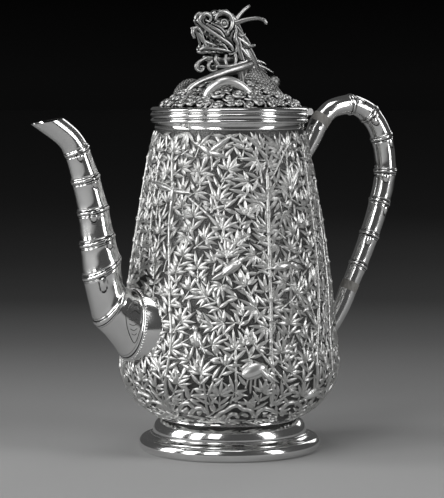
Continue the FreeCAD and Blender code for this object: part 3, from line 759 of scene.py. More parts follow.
# Outlines of the rocks along the base, and the pixel row of their foot
rock_foot_row = 419.0
rock_lines = [
    [(217, 416), (221, 412), (226, 410), (231, 406.5), (237.5, 405), (243, 408.5), (250, 410), (255, 416)],
    [(227, 418), (229.5, 414.5), (233, 413), (236.5, 414.5), (238.5, 418)], [(222, 417), (226, 413.5)],
    [(241, 412), (248, 416)], [(180, 409), (183, 404), (189, 402.5), (193, 406), (196, 410)],
    [(191, 412), (196, 408), (203, 408), (207, 413)], [(185, 410), (189, 407)], [(199, 412), (203, 411)],
    [(255, 415), (259, 410.5), (264, 408), (270, 409), (278, 413)], [(262, 413), (268, 412)],
    [(150, 401), (156, 401), (163, 405), (169, 411)], [(141, 392), (148, 395), (153, 399)],
    [(157, 405), (161, 408)], [(280, 409), (287, 403), (295, 402), (301, 406)],
    [(303, 400), (311, 394), (317, 395)],
]


def clear_rocks():
    """Marks the ground between each rock's outline and the base."""
    for points in rock_lines:
        across = np.array([point[0] for point in points])
        down = np.array([point[1] for point in points])
        order = np.argsort(across)
        for px in np.arange(across.min(), across.max(), 1.0):
            top = float(np.interp(px, across[order], down[order]))
            for py in np.arange(top, rock_foot_row, 1.2):
                claim(*on_body(px, py))


# The spout's collar and the handle's two roots: lowest and highest level, half width, angle in degrees
fittings = [(50.0, 85.0, 17.5, 180.0), (41, 66, 5.0, 0.0), (140, 172, 5.5, 0.0)]


def keep_clear():
    """Marks the ground under the fittings, as an oval for each."""
    for low, high, half, middle in fittings:
        for level in np.arange(low, high, 0.3):
            centre = (low + high) / 2
            share = math.sqrt(max(0.0, 1.0 - ((level - centre) / ((high - low) / 2)) ** 2))
            run = body_run(level)
            across = np.arange(-half * share, half * share + 0.1, 0.25)
            spots = offset(math.radians(middle), np.full_like(across, run), across, 0 * across)
            claim(*spots, fitting_mark)


far_culm_degrees = (-22, -8, 12, 30, 46, 63, 80, 97, 112, 128, 146, 162, 196)
far_culm_foot = 25.0


def far_culms():
    """Culms round the sides and back, from the rocks to the neck."""
    result = []
    for degrees in far_culm_degrees:
        angle = math.radians(degrees)
        lean = draw.uniform(-5.0, 5.0)
        sway = draw.uniform(-3.0, 3.0)
        top = draw.uniform(118.0, 160.0)
        spots = []
        for share in (0.0, 0.25, 0.5, 0.75, 1.0):
            level = far_culm_foot + (top - far_culm_foot) * share
            across = lean * share + sway * math.sin(math.pi * 2 * share)
            spots.append(offset(angle, body_run(level), across, 0.0))
        result.append(spots)
    return result


# Leaves of a spray: share of the twig where they grow, and their turns from it in degrees
spray_joints = [(1.0, (0, 30, -30, 60, -60, 88, -88)), (0.2, (46, -46))]
fewest_leaves = 3
twig_radius = 0.5
twig_joint_gap = 20.0


def spray(angle, run, aim, reach, length, need):
    """A twig with a pair of leaves on its way and a hand of leaves at its end, where their ground is free."""
    way = math.radians(aim)
    found = []
    for share, turns in spray_joints:
        joint = along_way(angle, run, way, reach * share)
        for turn in turns:
            size = length * draw.uniform(0.88, 1.1) * (1.1 - 0.0035 * abs(turn))
            leaf_way = way + math.radians(turn + draw.uniform(-6, 6))
            width = draw.uniform(2.2, 2.6)
            for shrink in (1.0, 0.78):
                if free_share(*leaf_spots(*joint, leaf_way, size * shrink, width)) >= need:
                    found.append((*joint, leaf_way, size * shrink, width))
                    break
    if len(found) < fewest_leaves:
        return
    for leaf in found:
        claim(*leaf_spots(*leaf))
        put_leaf(leaves, *leaf, draw.uniform(0.85, 1.3))
    middle = along_way(angle, run, way, 0.5 * reach)
    end = along_way(angle, run, way, reach)
    stem([(angle, run), middle, end], twig_radius, twig_joint_gap)


def far_rocks():
    """Rounded rocks along the base, round the sides and back."""
    result = []
    for degrees in range(-52, 200, 21):
        for height, half in ((6.5, 7.0), (3.2, 3.4)):
            spots = []
            for share in (-1.0, -0.6, 0.0, 0.6, 1.0):
                level = relief_low + 0.6 + height * math.sqrt(max(0.0, 1.0 - share * share))
                across = half * share + draw.uniform(-0.5, 0.5)
                spots.append(offset(math.radians(degrees), level, across, 0.0))
            result.append(spots)
    return result


def far_spot(spots, share):
    """The spot at a share of the way up a culm."""
    return row_at(share, np.linspace(0.0, 1.0, len(spots)), np.array(spots))


def clear_of_fittings(spots):
    angles, runs = np.array(spots).T
    rows, columns = cells(angles, runs)
    return not np.any(taken[rows, columns] == fitting_mark)


# Radii of what is laid as stems, and the gaps between their joints
crane_line_radius = 0.62
rock_line_radius = 1.25
far_rock_radius = 0.95
line_joint_gap = 30.0
near_culm_radius = 1.0
near_branch_radius = 0.7
shortest_culm_pixels = 110
far_culm_radius = 1.1
culm_joint_gap = 11.0
# Sprays: the twig's reach and the growth of the leaves on the near side, and the count up each far culm
near_spray_reach = 7.0
near_spray_growth = 1.2
far_spray_steps = 16
# Rounds that fill free ground: share of a leaf's ground that must be free, tries, twig reach, leaf length
filling_sprays = [(0.9, 2500, 6.5, 9.2), (0.9, 3000, 5.5, 8.2), (0.92, 3000, 4.0, 7.2)]
# Rounds of single leaves: leaf length and tries
filling_leaves = [(7.6, 5000), (6.4, 4000)]


def lay_birds_and_rocks():
    for form in wing_forms:
        feather(wings, *form)
    for form in body_forms:
        feather(bird_bodies, *form)
    for points in crane_lines:
        stem(shown(points), crane_line_radius, line_joint_gap)
    for points in rock_lines:
        stem(shown(points), rock_line_radius, line_joint_gap)
    clear_rocks()
    for spots in far_rocks():
        stem(spots, far_rock_radius, line_joint_gap)


def lay_culms():
    """Lays all culms and returns those of the far side."""
    for points in near_culms:
        tall = abs(points[0][1] - points[-1][1]) > shortest_culm_pixels
        stem(shown(points), near_culm_radius if tall else near_branch_radius, culm_joint_gap)
    grown = [spots for spots in far_culms() if clear_of_fittings(spots)]
    for spots in grown:
        stem(spots, far_culm_radius, culm_joint_gap)
    return grown


def lay_sprays(far_grown):
    for px, py, aim, length in near_sprays:
        root = along_way(*on_body(px, py), math.radians(aim), -near_spray_reach)
        spray(*root, aim, near_spray_reach, near_spray_growth * length, 0.82)
    for spots in far_grown:
        side = 1
        for step in range(1, far_spray_steps):
            spot = far_spot(spots, step / far_spray_steps)
            side = -side
            aim = 90 + side * draw.uniform(38, 62)
            spray(*spot, aim, draw.uniform(5.5, 8.5), draw.uniform(7.0, 8.6), 0.86)


def fill_free_ground():
    for need, tries, reach, length in filling_sprays:
        for _ in range(tries):
            angle = draw.uniform(-math.pi, math.pi)
            run = draw.uniform(relief_low + 3, relief_high)
            if not taken[cells(angle, run)]:
                spray(angle, run, draw.uniform(25, 155), reach, length, need)
    for length, tries in filling_leaves:
        for _ in range(tries):
            angle = draw.uniform(-math.pi, math.pi)
            run = draw.uniform(relief_low, relief_high)
            way = draw.uniform(0, 2 * math.pi)
            try_leaf(angle, run, way, length, draw.uniform(2.0, 2.3), 0.96)


# Shapes along their length, each station with its place, width and height
leaf_form = [(0.0, 0.14, 0.35), (0.15, 0.62, 0.75), (0.38, 1.0, 1.0), (0.64, 0.76, 0.9), (0.85, 0.36, 0.62),
             (1.0, 0.03, 0.3)]
pointed_form = [(0.0, 0.1, 0.3), (0.08, 0.5, 0.66), (0.22, 0.88, 0.92), (0.4, 1.0, 1.0), (0.6, 0.84, 0.9),
                (0.78, 0.56, 0.72), (0.92, 0.26, 0.5), (1.0, 0.04, 0.3)]
round_form = [(0.0, 0.06, 0.2), (0.05, 0.44, 0.55), (0.18, 0.77, 0.84), (0.38, 0.97, 0.98), (0.6, 0.98, 1.0),
              (0.8, 0.8, 0.86), (0.94, 0.47, 0.58), (1.0, 0.06, 0.2)]


def long_shape(name, verts, depth, rows, columns):
    """A shape of sections along its length, open below, with closed ends."""
    faces = grid_faces(rows, columns, closed_columns=False)
    faces.append(tuple(range(columns)))
    faces.append(tuple(len(verts) - 1 - k for k in range(columns)))
    return unit_shape(name, verts, faces, depth, top_up=True)


def leaf_shape(name):
    """A pointed leaf one unit long, wide and high, with a ridge and sides that go into the ground."""
    verts = []
    depth = []
    for along, wide, high in leaf_form:
        section = ((-0.5, -0.45), (-0.4, 0.74 * high), (0.0, high), (0.4, 0.74 * high), (0.5, -0.45))
        for side, up in section:
            verts.append((along - 0.5, side * wide, up))
            # Tarnish and painted shade: darkest where the leaf goes into the ground, less on its sides, none
            # on its ridge
            depth.append(0.9 if up < 0 else (0.3 if side else 0.0))
    mesh = long_shape(name, verts, depth, len(leaf_form), len(section))
    mesh.set_sharp_from_angle(angle=math.radians(30))
    return mesh


# Turns round a feather's section, in degrees from its top, with a groove on each side
feather_turns = [-100, -70, -46, -38, -14, 14, 38, 46, 70, 100]
groove_turn = 42


def feather_shape(name, stations):
    """A plump form one unit long, wide and high, round across, with lines along its sides."""
    verts = []
    depth = []
    for along, wide, high in stations:
        for turn in feather_turns:
            groove = abs(abs(turn) - groove_turn) < 6
            reach = 0.9 if groove and 0.2 < along < 0.95 else 1.0
            side = math.sin(math.radians(turn))
            up = math.cos(math.radians(turn))
            verts.append((along - 0.5, 0.5 * wide * side * reach, high * up * reach if up > 0 else -0.22))
            # Tarnish and painted shade: dark underneath and in the side grooves, light on top
            depth.append(0.9 if abs(turn) > 90 else (0.55 if groove else 0.1))
    return long_shape(name, verts, depth, len(stations), len(feather_turns))


def scatter_tree():
    """Geometry nodes that set a shape on every point, turned and sized by the point's own values."""
    tree = bpy.data.node_groups.new("relief on points", "GeometryNodeTree")
    face = tree.interface
    face.new_socket("Points", in_out="INPUT", socket_type="NodeSocketGeometry")
    sockets = {
        "shape": face.new_socket("Shape", in_out="INPUT", socket_type="NodeSocketObject").identifier,
        "finish": face.new_socket("Finish", in_out="INPUT", socket_type="NodeSocketMaterial").identifier,
        "scale": face.new_socket("Unit", in_out="INPUT", socket_type="NodeSocketFloat").identifier,
    }
    face.new_socket("Relief", in_out="OUTPUT", socket_type="NodeSocketGeometry")
    nodes, links = tree.nodes, tree.links
    start = nodes.new("NodeGroupInput")
    end = nodes.new("NodeGroupOutput")
    shape = nodes.new("GeometryNodeObjectInfo")
    put = nodes.new("GeometryNodeInstanceOnPoints")
    stored = {}
    for key in ("turn", "size"):
        stored[key] = nodes.new("GeometryNodeInputNamedAttribute")
        stored[key].data_type = "FLOAT_VECTOR"
        stored[key].inputs["Name"].default_value = key
    to_turn = nodes.new("FunctionNodeEulerToRotation")
    unit = nodes.new("ShaderNodeVectorMath")
    unit.operation = "SCALE"
    real = nodes.new("GeometryNodeRealizeInstances")
    paint = nodes.new("GeometryNodeSetMaterial")
    links.new(start.outputs["Shape"], shape.inputs["Object"])
    links.new(start.outputs["Points"], put.inputs["Points"])
    links.new(shape.outputs["Geometry"], put.inputs["Instance"])
    links.new(stored["turn"].outputs["Attribute"], to_turn.inputs["Euler"])
    links.new(to_turn.outputs["Rotation"], put.inputs["Rotation"])
    links.new(stored["size"].outputs["Attribute"], unit.inputs[0])
    links.new(start.outputs["Unit"], unit.inputs["Scale"])
    links.new(unit.outputs["Vector"], put.inputs["Scale"])
    links.new(put.outputs["Instances"], real.inputs["Geometry"])
    links.new(real.outputs["Geometry"], paint.inputs["Geometry"])
    links.new(start.outputs["Finish"], paint.inputs["Material"])
    links.new(paint.outputs["Geometry"], end.inputs["Relief"])
    return tree, sockets


relief_tree, relief_sockets = scatter_tree()


def scattered(name, rows, shape_mesh, material):
    """One mesh of a shape set at every row of place, turn and size."""
    points = bpy.data.meshes.new(name + "_points")
    points.from_pydata([tuple(float(c) * MM for c in row[0]) for row in rows], [], [])
    for key, column in (("turn", 1), ("size", 2)):
        layer = points.attributes.new(key, "FLOAT_VECTOR", "POINT")
        layer.data.foreach_set("vector", np.array([row[column] for row in rows], dtype=np.float32).ravel())
    model = link(name + "_shape", shape_mesh)
    piece = link(name, points)
    nodes = piece.modifiers.new("relief", "NODES")
    nodes.node_group = relief_tree
    nodes[relief_sockets["shape"]] = model
    nodes[relief_sockets["finish"]] = material
    nodes[relief_sockets["scale"]] = MM
    mesh = evaluated(name, piece)
    bpy.data.objects.remove(model)
    for key in ("turn", "size"):
        layer = mesh.attributes.get(key)
        if layer:
            mesh.attributes.remove(layer)
    return mesh


def body_relief():
    keep_clear()
    lay_birds_and_rocks()
    lay_sprays(lay_culms())
    fill_free_ground()
    leaf = leaf_shape("bamboo_leaf")
    near = [row for row in leaves if row[0][1] < 0]
    far = [row for row in leaves if row[0][1] >= 0]
    wing = feather_shape("bird_wing", pointed_form)
    round_body = feather_shape("bird_body", round_form)
    for name, rows, shape, material, stands_for in (
        ("bamboo_leaves_near", near, leaf.copy(), chased, ["bamboo_relief"]),
        ("bamboo_leaves_far", far, leaf.copy(), chased, ()),
        ("bird_wings", wings, wing, burnished, ()),
        ("bird_bodies", bird_bodies, round_body, burnished, ()),
    ):
        mesh = scattered(name, rows, shape, material)
        finished(name, mesh, material, "pot", stands_for)
    culms = solid_mesh("bamboo_culms", *join(stems), weld=0.0001)
    add_shade_and_tarnish(culms, reach=1)
    finished("bamboo_culms", culms, chased, "pot")


# Foot, band and lid

# Radii and levels of the foot's ring, of the foot's top, of the reeds and of the lid's wall
rim_inside = 43.0
rim_outside = 46.0
rim_top = 7.0
foot_top = 17.5
reed_radius = 40.1
reed_edge = 39.9
band_inside = 38.4
band_low = 170.5
lid_inside = 32.0
lid_top = 178.6
stud_hole = 1.6
dome_wall = 1.2


def foot():
    rim = [(rim_inside, 0.0), (45.6, 0.0)]
    rim += arc((rim_outside, 0.25), (rim_outside, 6.75), 1.6, 18)
    rim += [(45.6, rim_top), (rim_inside, rim_top)]
    turned_piece("foot_ring", rim, polished, "pot", ["foot_rim"])
    bell = arc((45.0, rim_top), (41.3, 8.3), -0.35, 8)
    bell += arc((41.1, 8.4), (40.5, 9.4), 0.35, 6)
    bell += arc((40.2, 9.5), (32.8, foot_top), 2.2, 24)
    bell += arc((31.0, foot_top), (38.9, 7.7), 1.2, 12)
    bell += [(43.2, rim_top)]
    turned_piece("foot_bell", bell, polished, "pot", ["foot_dome"])


def base_strip():
    """The plain moulding where the body meets the foot."""
    strip = [(33.5, 17.0), (35.3, 16.1), (35.75, 16.4), (35.8, 17.8), (35.5, 18.2), (33.6, 18.0)]
    turned_piece("base_strip", strip, polished, "pot", sides=160)


def mouth_band():
    """Two reeds round the mouth and the plain strip below them."""
    reeds = [(band_inside, band_low), (reed_edge, band_low)]
    reeds += arc((reed_radius, 170.6), (reed_radius, 172.75), 0.85, 10)
    reeds += [(39.8, 172.9)]
    reeds += arc((reed_radius, 173.05), (reed_radius, 175.9), 0.9, 12)
    reeds += [(reed_edge, mouth_level), (band_inside, mouth_level)]
    turned_piece("mouth_reeds", reeds, polished, "pot", ["rim_band"])
    strip = [(38.35, 167.4), (38.8, 167.5), (38.95, 167.9), (38.75, 168.3), (38.72, 169.9), (38.9, 170.2),
             (38.9, band_low), (38.35, band_low)]
    turned_piece("neck_strip", strip, polished, "pot")


def lid_plain():
    """The lid's rounded edge, and the dome under the clouds."""
    edge = [(lid_inside, mouth_level), (reed_edge, mouth_level)]
    edge += arc((reed_radius, 176.1), (reed_radius, 178.4), 0.85, 12)
    edge += [(39.8, lid_top), (36.6, 178.75), (34.6, lid_top), (lid_inside, lid_top)]
    turned_piece("lid_reed", edge, polished, "lid", ["lid_edge"])
    low_top = dome_top[1] - dome_wall
    shell = arc(dome_edge, dome_top, dome_bulge, 30)
    shell += [(stud_hole, dome_top[1]), (stud_hole, low_top)]
    shell += arc((dome_top[0], low_top), (32.94, dome_edge[1]), -dome_bulge, 30)
    turned_piece("lid_shell", shell, ground, "lid", ["lid_dome"], 128)


dome_outline = np.array(arc(dome_edge, dome_top, dome_bulge, 40))[::-1]
seat_depth = 0.7
seat_radius = 39.0
merge_metres = 0.00001


def dome_level(radius):
    return np.interp(radius, dome_outline[:, 0], dome_outline[:, 1])


def seated(mesh):
    """Lifts what lies below the lid's upper face into its wall, so that nothing shows inside."""
    work = bmesh.new()
    work.from_mesh(mesh)
    for vert in work.verts:
        radius = math.hypot(vert.co.x, vert.co.y) / MM
        if radius < seat_radius:
            vert.co.z = max(vert.co.z, float(dome_level(radius) - seat_depth) * MM)
    bmesh.ops.remove_doubles(work, verts=work.verts, dist=merge_metres)
    bmesh.ops.dissolve_degenerate(work, edges=work.edges, dist=merge_metres)
    bmesh.ops.recalc_face_normals(work, faces=work.faces)
    work.to_mesh(mesh)
    work.free()
    return mesh


curl_steps = 13
curl_turns = 1.45


def curl_shape(name):
    """A curl of cloud one unit across: a coiled ridge on a low swelling."""
    rows = []
    radii = []
    for k in range(curl_steps):
        share = k / (curl_steps - 1)
        angle = 2 * math.pi * curl_turns * share
        reach = 0.44 * (1.0 - 0.72 * share)
        rows.append((reach * math.cos(angle), reach * math.sin(angle), 0.16 + 0.16 * share))
        radii.append(0.11 + 0.03 * math.sin(math.pi * share))
    coil = bar(rows, radii, 6)
    tail = bar([(0.44, 0.0, 0.14), (0.5, -0.28, 0.12), (0.42, -0.6, 0.08)], [0.11, 0.1, 0.05], 6)
    swell = ball((0, 0, 0.0), (0.46, 0.46, 0.1), sides=10)
    verts, faces = join([coil, tail, swell])
    ridge = coil[0] + tail[0]
    # Tarnish and painted shade: light on the raised coil, darker lower down and on the swelling
    shade_and_tarnish = [0.1 if v[2] > 0.14 else 0.45 for v in ridge] + [0.62] * len(swell[0])
    return unit_shape(name, verts, faces, shade_and_tarnish)


# Rings of clouds on the dome: radius, count and size
cloud_rings = [(33.0, 40, 6.4), (28.8, 36, 6.0), (24.4, 31, 5.8), (20.0, 26, 5.4), (15.6, 20, 5.2),
               (11.2, 13, 5.0)]
# Clouds under the dragon's arch: radius, turn from the arch and size
arch_clouds = [(26.5, -0.2, 9.0), (26.0, 0.17, 8.0), (21.0, -0.04, 7.0), (29.5, 0.0, 6.0), (28.5, 0.4, 6.5),
               (28.5, -0.42, 6.0)]
# The ground by the arch that the rings leave free: half turn, and radii between which it lies
arch_half_turn = 0.42
arch_inside = 18.0
arch_outside = 31.0


def cloud_spots():
    """Radius, angle and size of each cloud."""
    spots = []
    for radius, count, size in cloud_rings:
        for k in range(count):
            angle = 2 * math.pi * (k + draw.uniform(-0.22, 0.22)) / count
            here = radius + draw.uniform(-0.7, 0.7)
            turned_away = abs((angle - arch_angle + math.pi) % (2 * math.pi) - math.pi)
            if turned_away > arch_half_turn or not arch_inside < here < arch_outside:
                spots.append((here, angle, size * draw.uniform(0.85, 1.12)))
    return spots + [(radius, arch_angle + turn, size) for radius, turn, size in arch_clouds]


def lid_clouds():
    """Curls of cloud all over the dome, larger along its edge."""
    spots = cloud_spots()
    rows = []
    for radius, angle, size in spots:
        slope = dome_level(radius + 0.5) - dome_level(radius - 0.5)
        out = Vector((-slope * math.cos(angle), -slope * math.sin(angle), 1.0)).normalized()
        spin = Matrix.Rotation(draw.uniform(0, 6.28), 3, "Z").to_quaternion()
        turn = out.to_track_quat("Z", "Y") @ spin
        place = (radius * math.cos(angle), radius * math.sin(angle), float(dome_level(radius)))
        flip = -1 if draw.random() < 0.5 else 1
        rows.append((place, tuple(turn.to_euler("XYZ")), (size, size * flip, size * draw.uniform(0.9, 1.3))))
    mesh = scattered("lid_clouds", rows, curl_shape("cloud_curl"), cast)
    face_outward(mesh)
    finished("lid_clouds", mesh, cast, "lid", ["cloud_base"])


# Bamboo spout and handle

def section_frame(tilt):
    """The two ways in the plane of a section that faces tilt degrees above +X."""
    turn = math.radians(tilt)
    return np.array([0.0, 1.0, 0.0]), np.array([-math.sin(turn), 0.0, math.cos(turn)])


def bamboo_run(rows, spacing):
    """Evenly spaced rows of x, z, radius and tilt, their distances and those of the given rows."""
    steps = 24
    fine = spline(rows, steps)
    run = distances(fine[:, :2])
    marks = run[::steps]
    count = int(run[-1] / spacing) + 1
    even = np.linspace(0.0, run[-1], count)
    return row_at(even, run, fine).T, even, marks


ring_bead = 0.35
skin_spacing = 0.25
# From here on a groove is dark enough to be kept
least_shade = 0.02


def bamboo_swell(distance, rings, waist):
    """What a joint does to the skin: share of the radius, rise of bead and grooves, and how dark they are."""
    near = min(abs(distance - ring) for ring in rings)
    flare = math.exp(-(near / 2.6) ** 2)
    rise = math.exp(-(near / 1.5) ** 4)
    # Grooves beside the joint, darkened below with tarnish and painted shade
    groove = math.exp(-((near - 0.95) / 0.26) ** 2) + 0.55 * math.exp(-((near - 1.75) / 0.24) ** 2)
    return 1.0 - waist * (1.0 - flare), ring_bead * (rise - 1.3 * groove), min(1.0, 1.25 * groove)


def bamboo_skin(rows, ring_rows, sides, waist, buds, shades):
    """The outside of a jointed length of bamboo as a grid of places.

    Buds are a distance, an angle and a size. Shades takes the dark places and how dark they are.
    """
    even, run, marks = bamboo_run(rows, skin_spacing)
    rings = [marks[k] for k in ring_rows]
    grid = []
    for (x, z, radius, tilt), distance in zip(even, run):
        side, up = section_frame(tilt)
        share, bump, dark = bamboo_swell(distance, rings, waist)
        ring = []
        for j in range(sides):
            angle = 2 * math.pi * j / sides
            reach = radius * share + bump
            shade = dark
            for bud_run, bud_angle, size in buds:
                away = (angle - bud_angle + math.pi) % (2 * math.pi) - math.pi
                d = math.hypot((distance - bud_run) / (1.5 * size), away * radius / size)
                if d < 3:
                    # The groove round a bud is darkened too: tarnish and painted shade
                    edge = math.exp(-((d - 1.5) / 0.3) ** 2)
                    reach += 0.45 * size * math.exp(-d * d) - 0.16 * edge
                    shade = max(shade, edge)
            place = np.array([x, 0.0, z]) + reach * (side * math.sin(angle) + up * math.cos(angle))
            ring.append(place)
            if shade > least_shade:
                shades.append((place, shade))
        grid.append(ring)
    return grid


same_place_metres = 0.00005


def darken(mesh, shades):
    """Adds tarnish and painted shade to the stored values where the grooves run."""
    tree = kdtree.KDTree(len(shades))
    for k, (place, _) in enumerate(shades):
        tree.insert(tuple(float(c) * MM for c in place), k)
    tree.balance()
    layer = mesh.attributes["shade_and_tarnish"].data
    for vertex in mesh.vertices:
        _, k, gap = tree.find(vertex.co)
        if gap < same_place_metres:
            layer[vertex.index].value = max(layer[vertex.index].value, shades[k][1])


def skin_faces(grid):
    return [v for ring in grid for v in ring], grid_faces(len(grid), len(grid[0]))


def plain_bore(rows, sides, wall, spacing):
    """The inside of a length of bamboo as a grid of places."""
    even, _, _ = bamboo_run(rows, spacing)
    turns = [2 * math.pi * j / sides for j in range(sides)]
    grid = []
    for x, z, radius, tilt in even:
        side, up = section_frame(tilt)
        middle = np.array([x, 0.0, z])
        grid.append([middle + (radius - wall) * (side * math.sin(t) + up * math.cos(t)) for t in turns])
    return grid


# Rows of the spout and its lip: x, z, radius and tilt of the section in degrees
spout_rows = [
    (-57.4, 68.0, 18.0, 172.0), (-64.6, 74.6, 14.3, 160.0), (-69.4, 79.2, 12.1, 144.0),
    (-71.8, 89.0, 11.4, 131.0), (-73.3, 98.0, 11.1, 121.0), (-75.7, 112.3, 9.3, 109.0),
    (-77.9, 127.3, 8.1, 104.0), (-82.0, 143.2, 7.4, 107.0), (-86.7, 157.4, 6.6, 114.0),
]
lip_rows = [spout_rows[-1], (-92.6, 165.0, 6.35, 133.0), (-107.6, 175.6, 6.35, 142.5)]
spout_ring_rows = [0, 2, 4, 5, 6, 7, 8]
spout_sides = 72
spout_wall = 1.2
lip_wall = 0.9
lip_tip = (-111.4, 170.5)
lip_slope = math.radians(10.5)
# Buds on the spout: distance along it, turn from its near side and size
spout_near = 1.5 * math.pi
spout_buds = [(31.0, 0.5, 1.6), (48.0, -0.3, 1.5), (63.5, 0.45, 1.4), (79.5, -0.2, 1.3), (94.5, 0.3, 1.1)]


def hollow_piece(outer, inner):
    """A tube with both its skins and the rings that close its ends."""
    columns = len(outer[0])
    verts = [v for ring in outer for v in ring] + [v for ring in inner[::-1] for v in ring]
    return verts, grid_faces(len(outer) + len(inner), columns, closed_rows=True)


def spout():
    shades = []
    buds = [(run, spout_near + turn, size) for run, turn, size in spout_buds]
    outer = bamboo_skin(spout_rows, spout_ring_rows, spout_sides, 0.05, buds, shades)
    inner = plain_bore(spout_rows, spout_sides, spout_wall, 2.0)
    sheath(outer)
    mesh = solid_mesh("bamboo_spout", *hollow_piece(outer, inner))
    add_shade_and_tarnish(mesh, 1, 0.6)
    darken(mesh, shades)
    stands_for = ["spout_root", "spout_stem", "spout_rings"]
    finished("bamboo_spout", mesh, polished, "pot", stands_for)


# Lines of the bud sheath on the spout's root, as pixels of the photograph, each with its radius
sheath_lines = [
    ([(125.5, 314), (130.5, 304), (136, 300.5), (141, 306), (142.5, 316), (140, 330), (134.5, 343),
      (128, 330), (125.5, 314)], 0.24),
    ([(130, 309), (133, 305.5), (137, 305.5), (139, 309.5)], 0.5),
    ([(131, 313), (135, 310.5), (139.5, 313.5)], 0.4),
    ([(129, 319), (133, 320.5), (138.5, 318.5)], 0.2),
    ([(129.5, 324), (133.5, 325.5), (138, 323.5)], 0.2),
    ([(130.5, 329), (134, 330.5), (137, 328.5)], 0.2),
    ([(132, 334), (134.5, 335), (136.5, 333.5)], 0.2),
]
line_lift = 0.05


def sheath(outside):
    """A bud sheath engraved on the root: fine dark lines laid on the skin, with tarnish and painted groove
    shade.
    """
    verts, faces = skin_faces(outside)
    skin = bvhtree.BVHTree.FromPolygons([tuple(float(c) for c in v) for v in verts], faces)
    parts = []
    for points, radius in sheath_lines:
        row = []
        for px, py in spline(points, 5):
            way = sight(px, py)
            spot, normal, _, _ = skin.ray_cast(Vector(camera_place), Vector(way))
            if spot:
                row.append(np.array(spot) + line_lift * np.array(normal))
        if len(row) > 2:
            parts.append(bar(row, [radius] * len(row), 6))
    mesh = solid_mesh("spout_sheath", *join(parts))
    finished("spout_sheath", mesh, groove_shade_and_tarnish, "pot")


def cut_at_lip(grid):
    """The grid drawn back along its columns so that it ends on the slanting plane of the lip."""
    def above(place):
        return (place[2] - lip_tip[1]) - (place[0] - lip_tip[0]) * math.tan(lip_slope)
    columns = []
    for j in range(len(grid[0])):
        line = np.array([ring[j] for ring in grid])
        high = np.array([above(p) for p in line])
        last = next((k for k in range(1, len(line)) if high[k] > 0), len(line) - 1)
        share = np.clip(-high[last - 1] / max(high[last] - high[last - 1], 1e-6), 0, 1)
        stop = last - 1 + share
        at = np.linspace(0, stop, len(grid))
        columns.append(row_at(at, np.arange(len(line)), line).T)
    return [[column[i] for column in columns] for i in range(len(grid))]


def lip():
    shades = []
    outer = cut_at_lip(bamboo_skin(lip_rows, [0], spout_sides, 0.03, (), shades))
    inner = cut_at_lip(plain_bore(lip_rows, spout_sides, lip_wall, skin_spacing))
    mesh = solid_mesh("spout_mouth", *hollow_piece(outer, inner))
    add_shade_and_tarnish(mesh, 1, 0.4)
    darken(mesh, shades)
    finished("spout_mouth", mesh, polished, "pot", ["spout_lip"])


def stopped_at_body(start, end, sink):
    """Where the straight way from start to end goes into the body's wall."""
    for share in np.linspace(0, 1, 200):
        place = start + (end - start) * share
        if math.hypot(place[0], place[1]) < body_radius(place[2]) - sink:
            return place
    return end


# The collar: its face on the spout's first row, radii there, half width and height behind, beads and steps
collar_sides = 96
collar_radius = 18.3
collar_bore = 16.9
collar_depth = 9.0
collar_half_width = 23.0
collar_half_height = 20.2
collar_swell = 0.25
collar_sink = 0.5
outer_steps = 12
inner_steps = 3
edge_radius = 0.3
bead_count = 76
bead_ring = 18.25
bead_back = 0.4
bead_radius = 0.62


def collar():
    """The flared saddle between spout and body, with beads round its face and a fine edge on the body."""
    x, z, _, tilt = spout_rows[0]
    side, up = section_frame(tilt)
    face = np.array([x, 0.0, z])
    back = face + np.array([collar_depth, 0.0, 0.0])
    rings = [[] for _ in range(outer_steps + 1)]
    inner = [[] for _ in range(inner_steps + 1)]
    edge = []
    for j in range(collar_sides):
        angle = 2 * math.pi * j / collar_sides
        across = side * math.sin(angle)
        above = up * math.cos(angle)
        way = across + above
        start = face + way * collar_radius
        end = back + across * collar_half_width + above * collar_half_height
        foot_place = stopped_at_body(start, end, collar_sink)
        edge.append(stopped_at_body(start, end, -0.1))
        for k in range(outer_steps + 1):
            share = k / outer_steps
            swell = collar_swell * math.sin(math.pi * share)
            rings[k].append(start + (foot_place - start) * share + way * swell)
        bore = face + way * collar_bore
        stop = stopped_at_body(bore, back + way * collar_bore, collar_sink)
        for k in range(inner_steps + 1):
            inner[k].append(bore + (stop - bore) * k / inner_steps)
    parts = [hollow_piece(rings, inner)]
    parts.append(bar(edge + edge[:1], [edge_radius] * (collar_sides + 1), 8))
    for k in range(bead_count):
        angle = 2 * math.pi * k / bead_count
        way = side * math.sin(angle) + up * math.cos(angle)
        bead = face + way * bead_ring + np.array([bead_back, 0.0, 0.0])
        parts.append(ball(bead, (bead_radius, bead_radius, bead_radius), sides=8))
    mesh = solid_mesh("spout_saddle", *join(parts))
    add_shade_and_tarnish(mesh, 1, 0.5)
    finished("spout_saddle", mesh, polished, "pot", ["spout_collar"])


# Rows of the handle's grip: x, z, radius and tilt of the section in degrees
grip_rows = [
    (56.3, 173.2, 5.2, 52.0), (62.6, 177.7, 5.3, 28.0), (72.8, 179.5, 5.4, 0.0),
    (79.5, 177.7, 5.6, -24.0), (84.6, 174.4, 5.8, -44.0), (89.3, 169.0, 5.9, -57.0),
    (92.6, 162.0, 6.0, -70.0), (94.6, 152.5, 6.1, -81.0), (95.1, 143.5, 6.1, -92.0),
    (93.9, 135.0, 6.0, -103.0), (91.6, 127.0, 5.8, -109.0), (88.6, 118.0, 5.6, -111.0),
    (85.3, 109.4, 5.4, -112.0), (81.8, 101.0, 5.3, -113.0), (78.3, 93.3, 5.1, -115.0),
    (74.0, 84.3, 4.8, -117.0),
]
grip_ring_rows = [2, 4, 6, 8, 10, 12, 14]
grip_sides = 60
grip_near = 1.5 * math.pi
# Buds sit a little below each joint but the last, by turns on either side of the grip's near side
grip_bud_drop = 3.6
grip_bud_size = 1.25


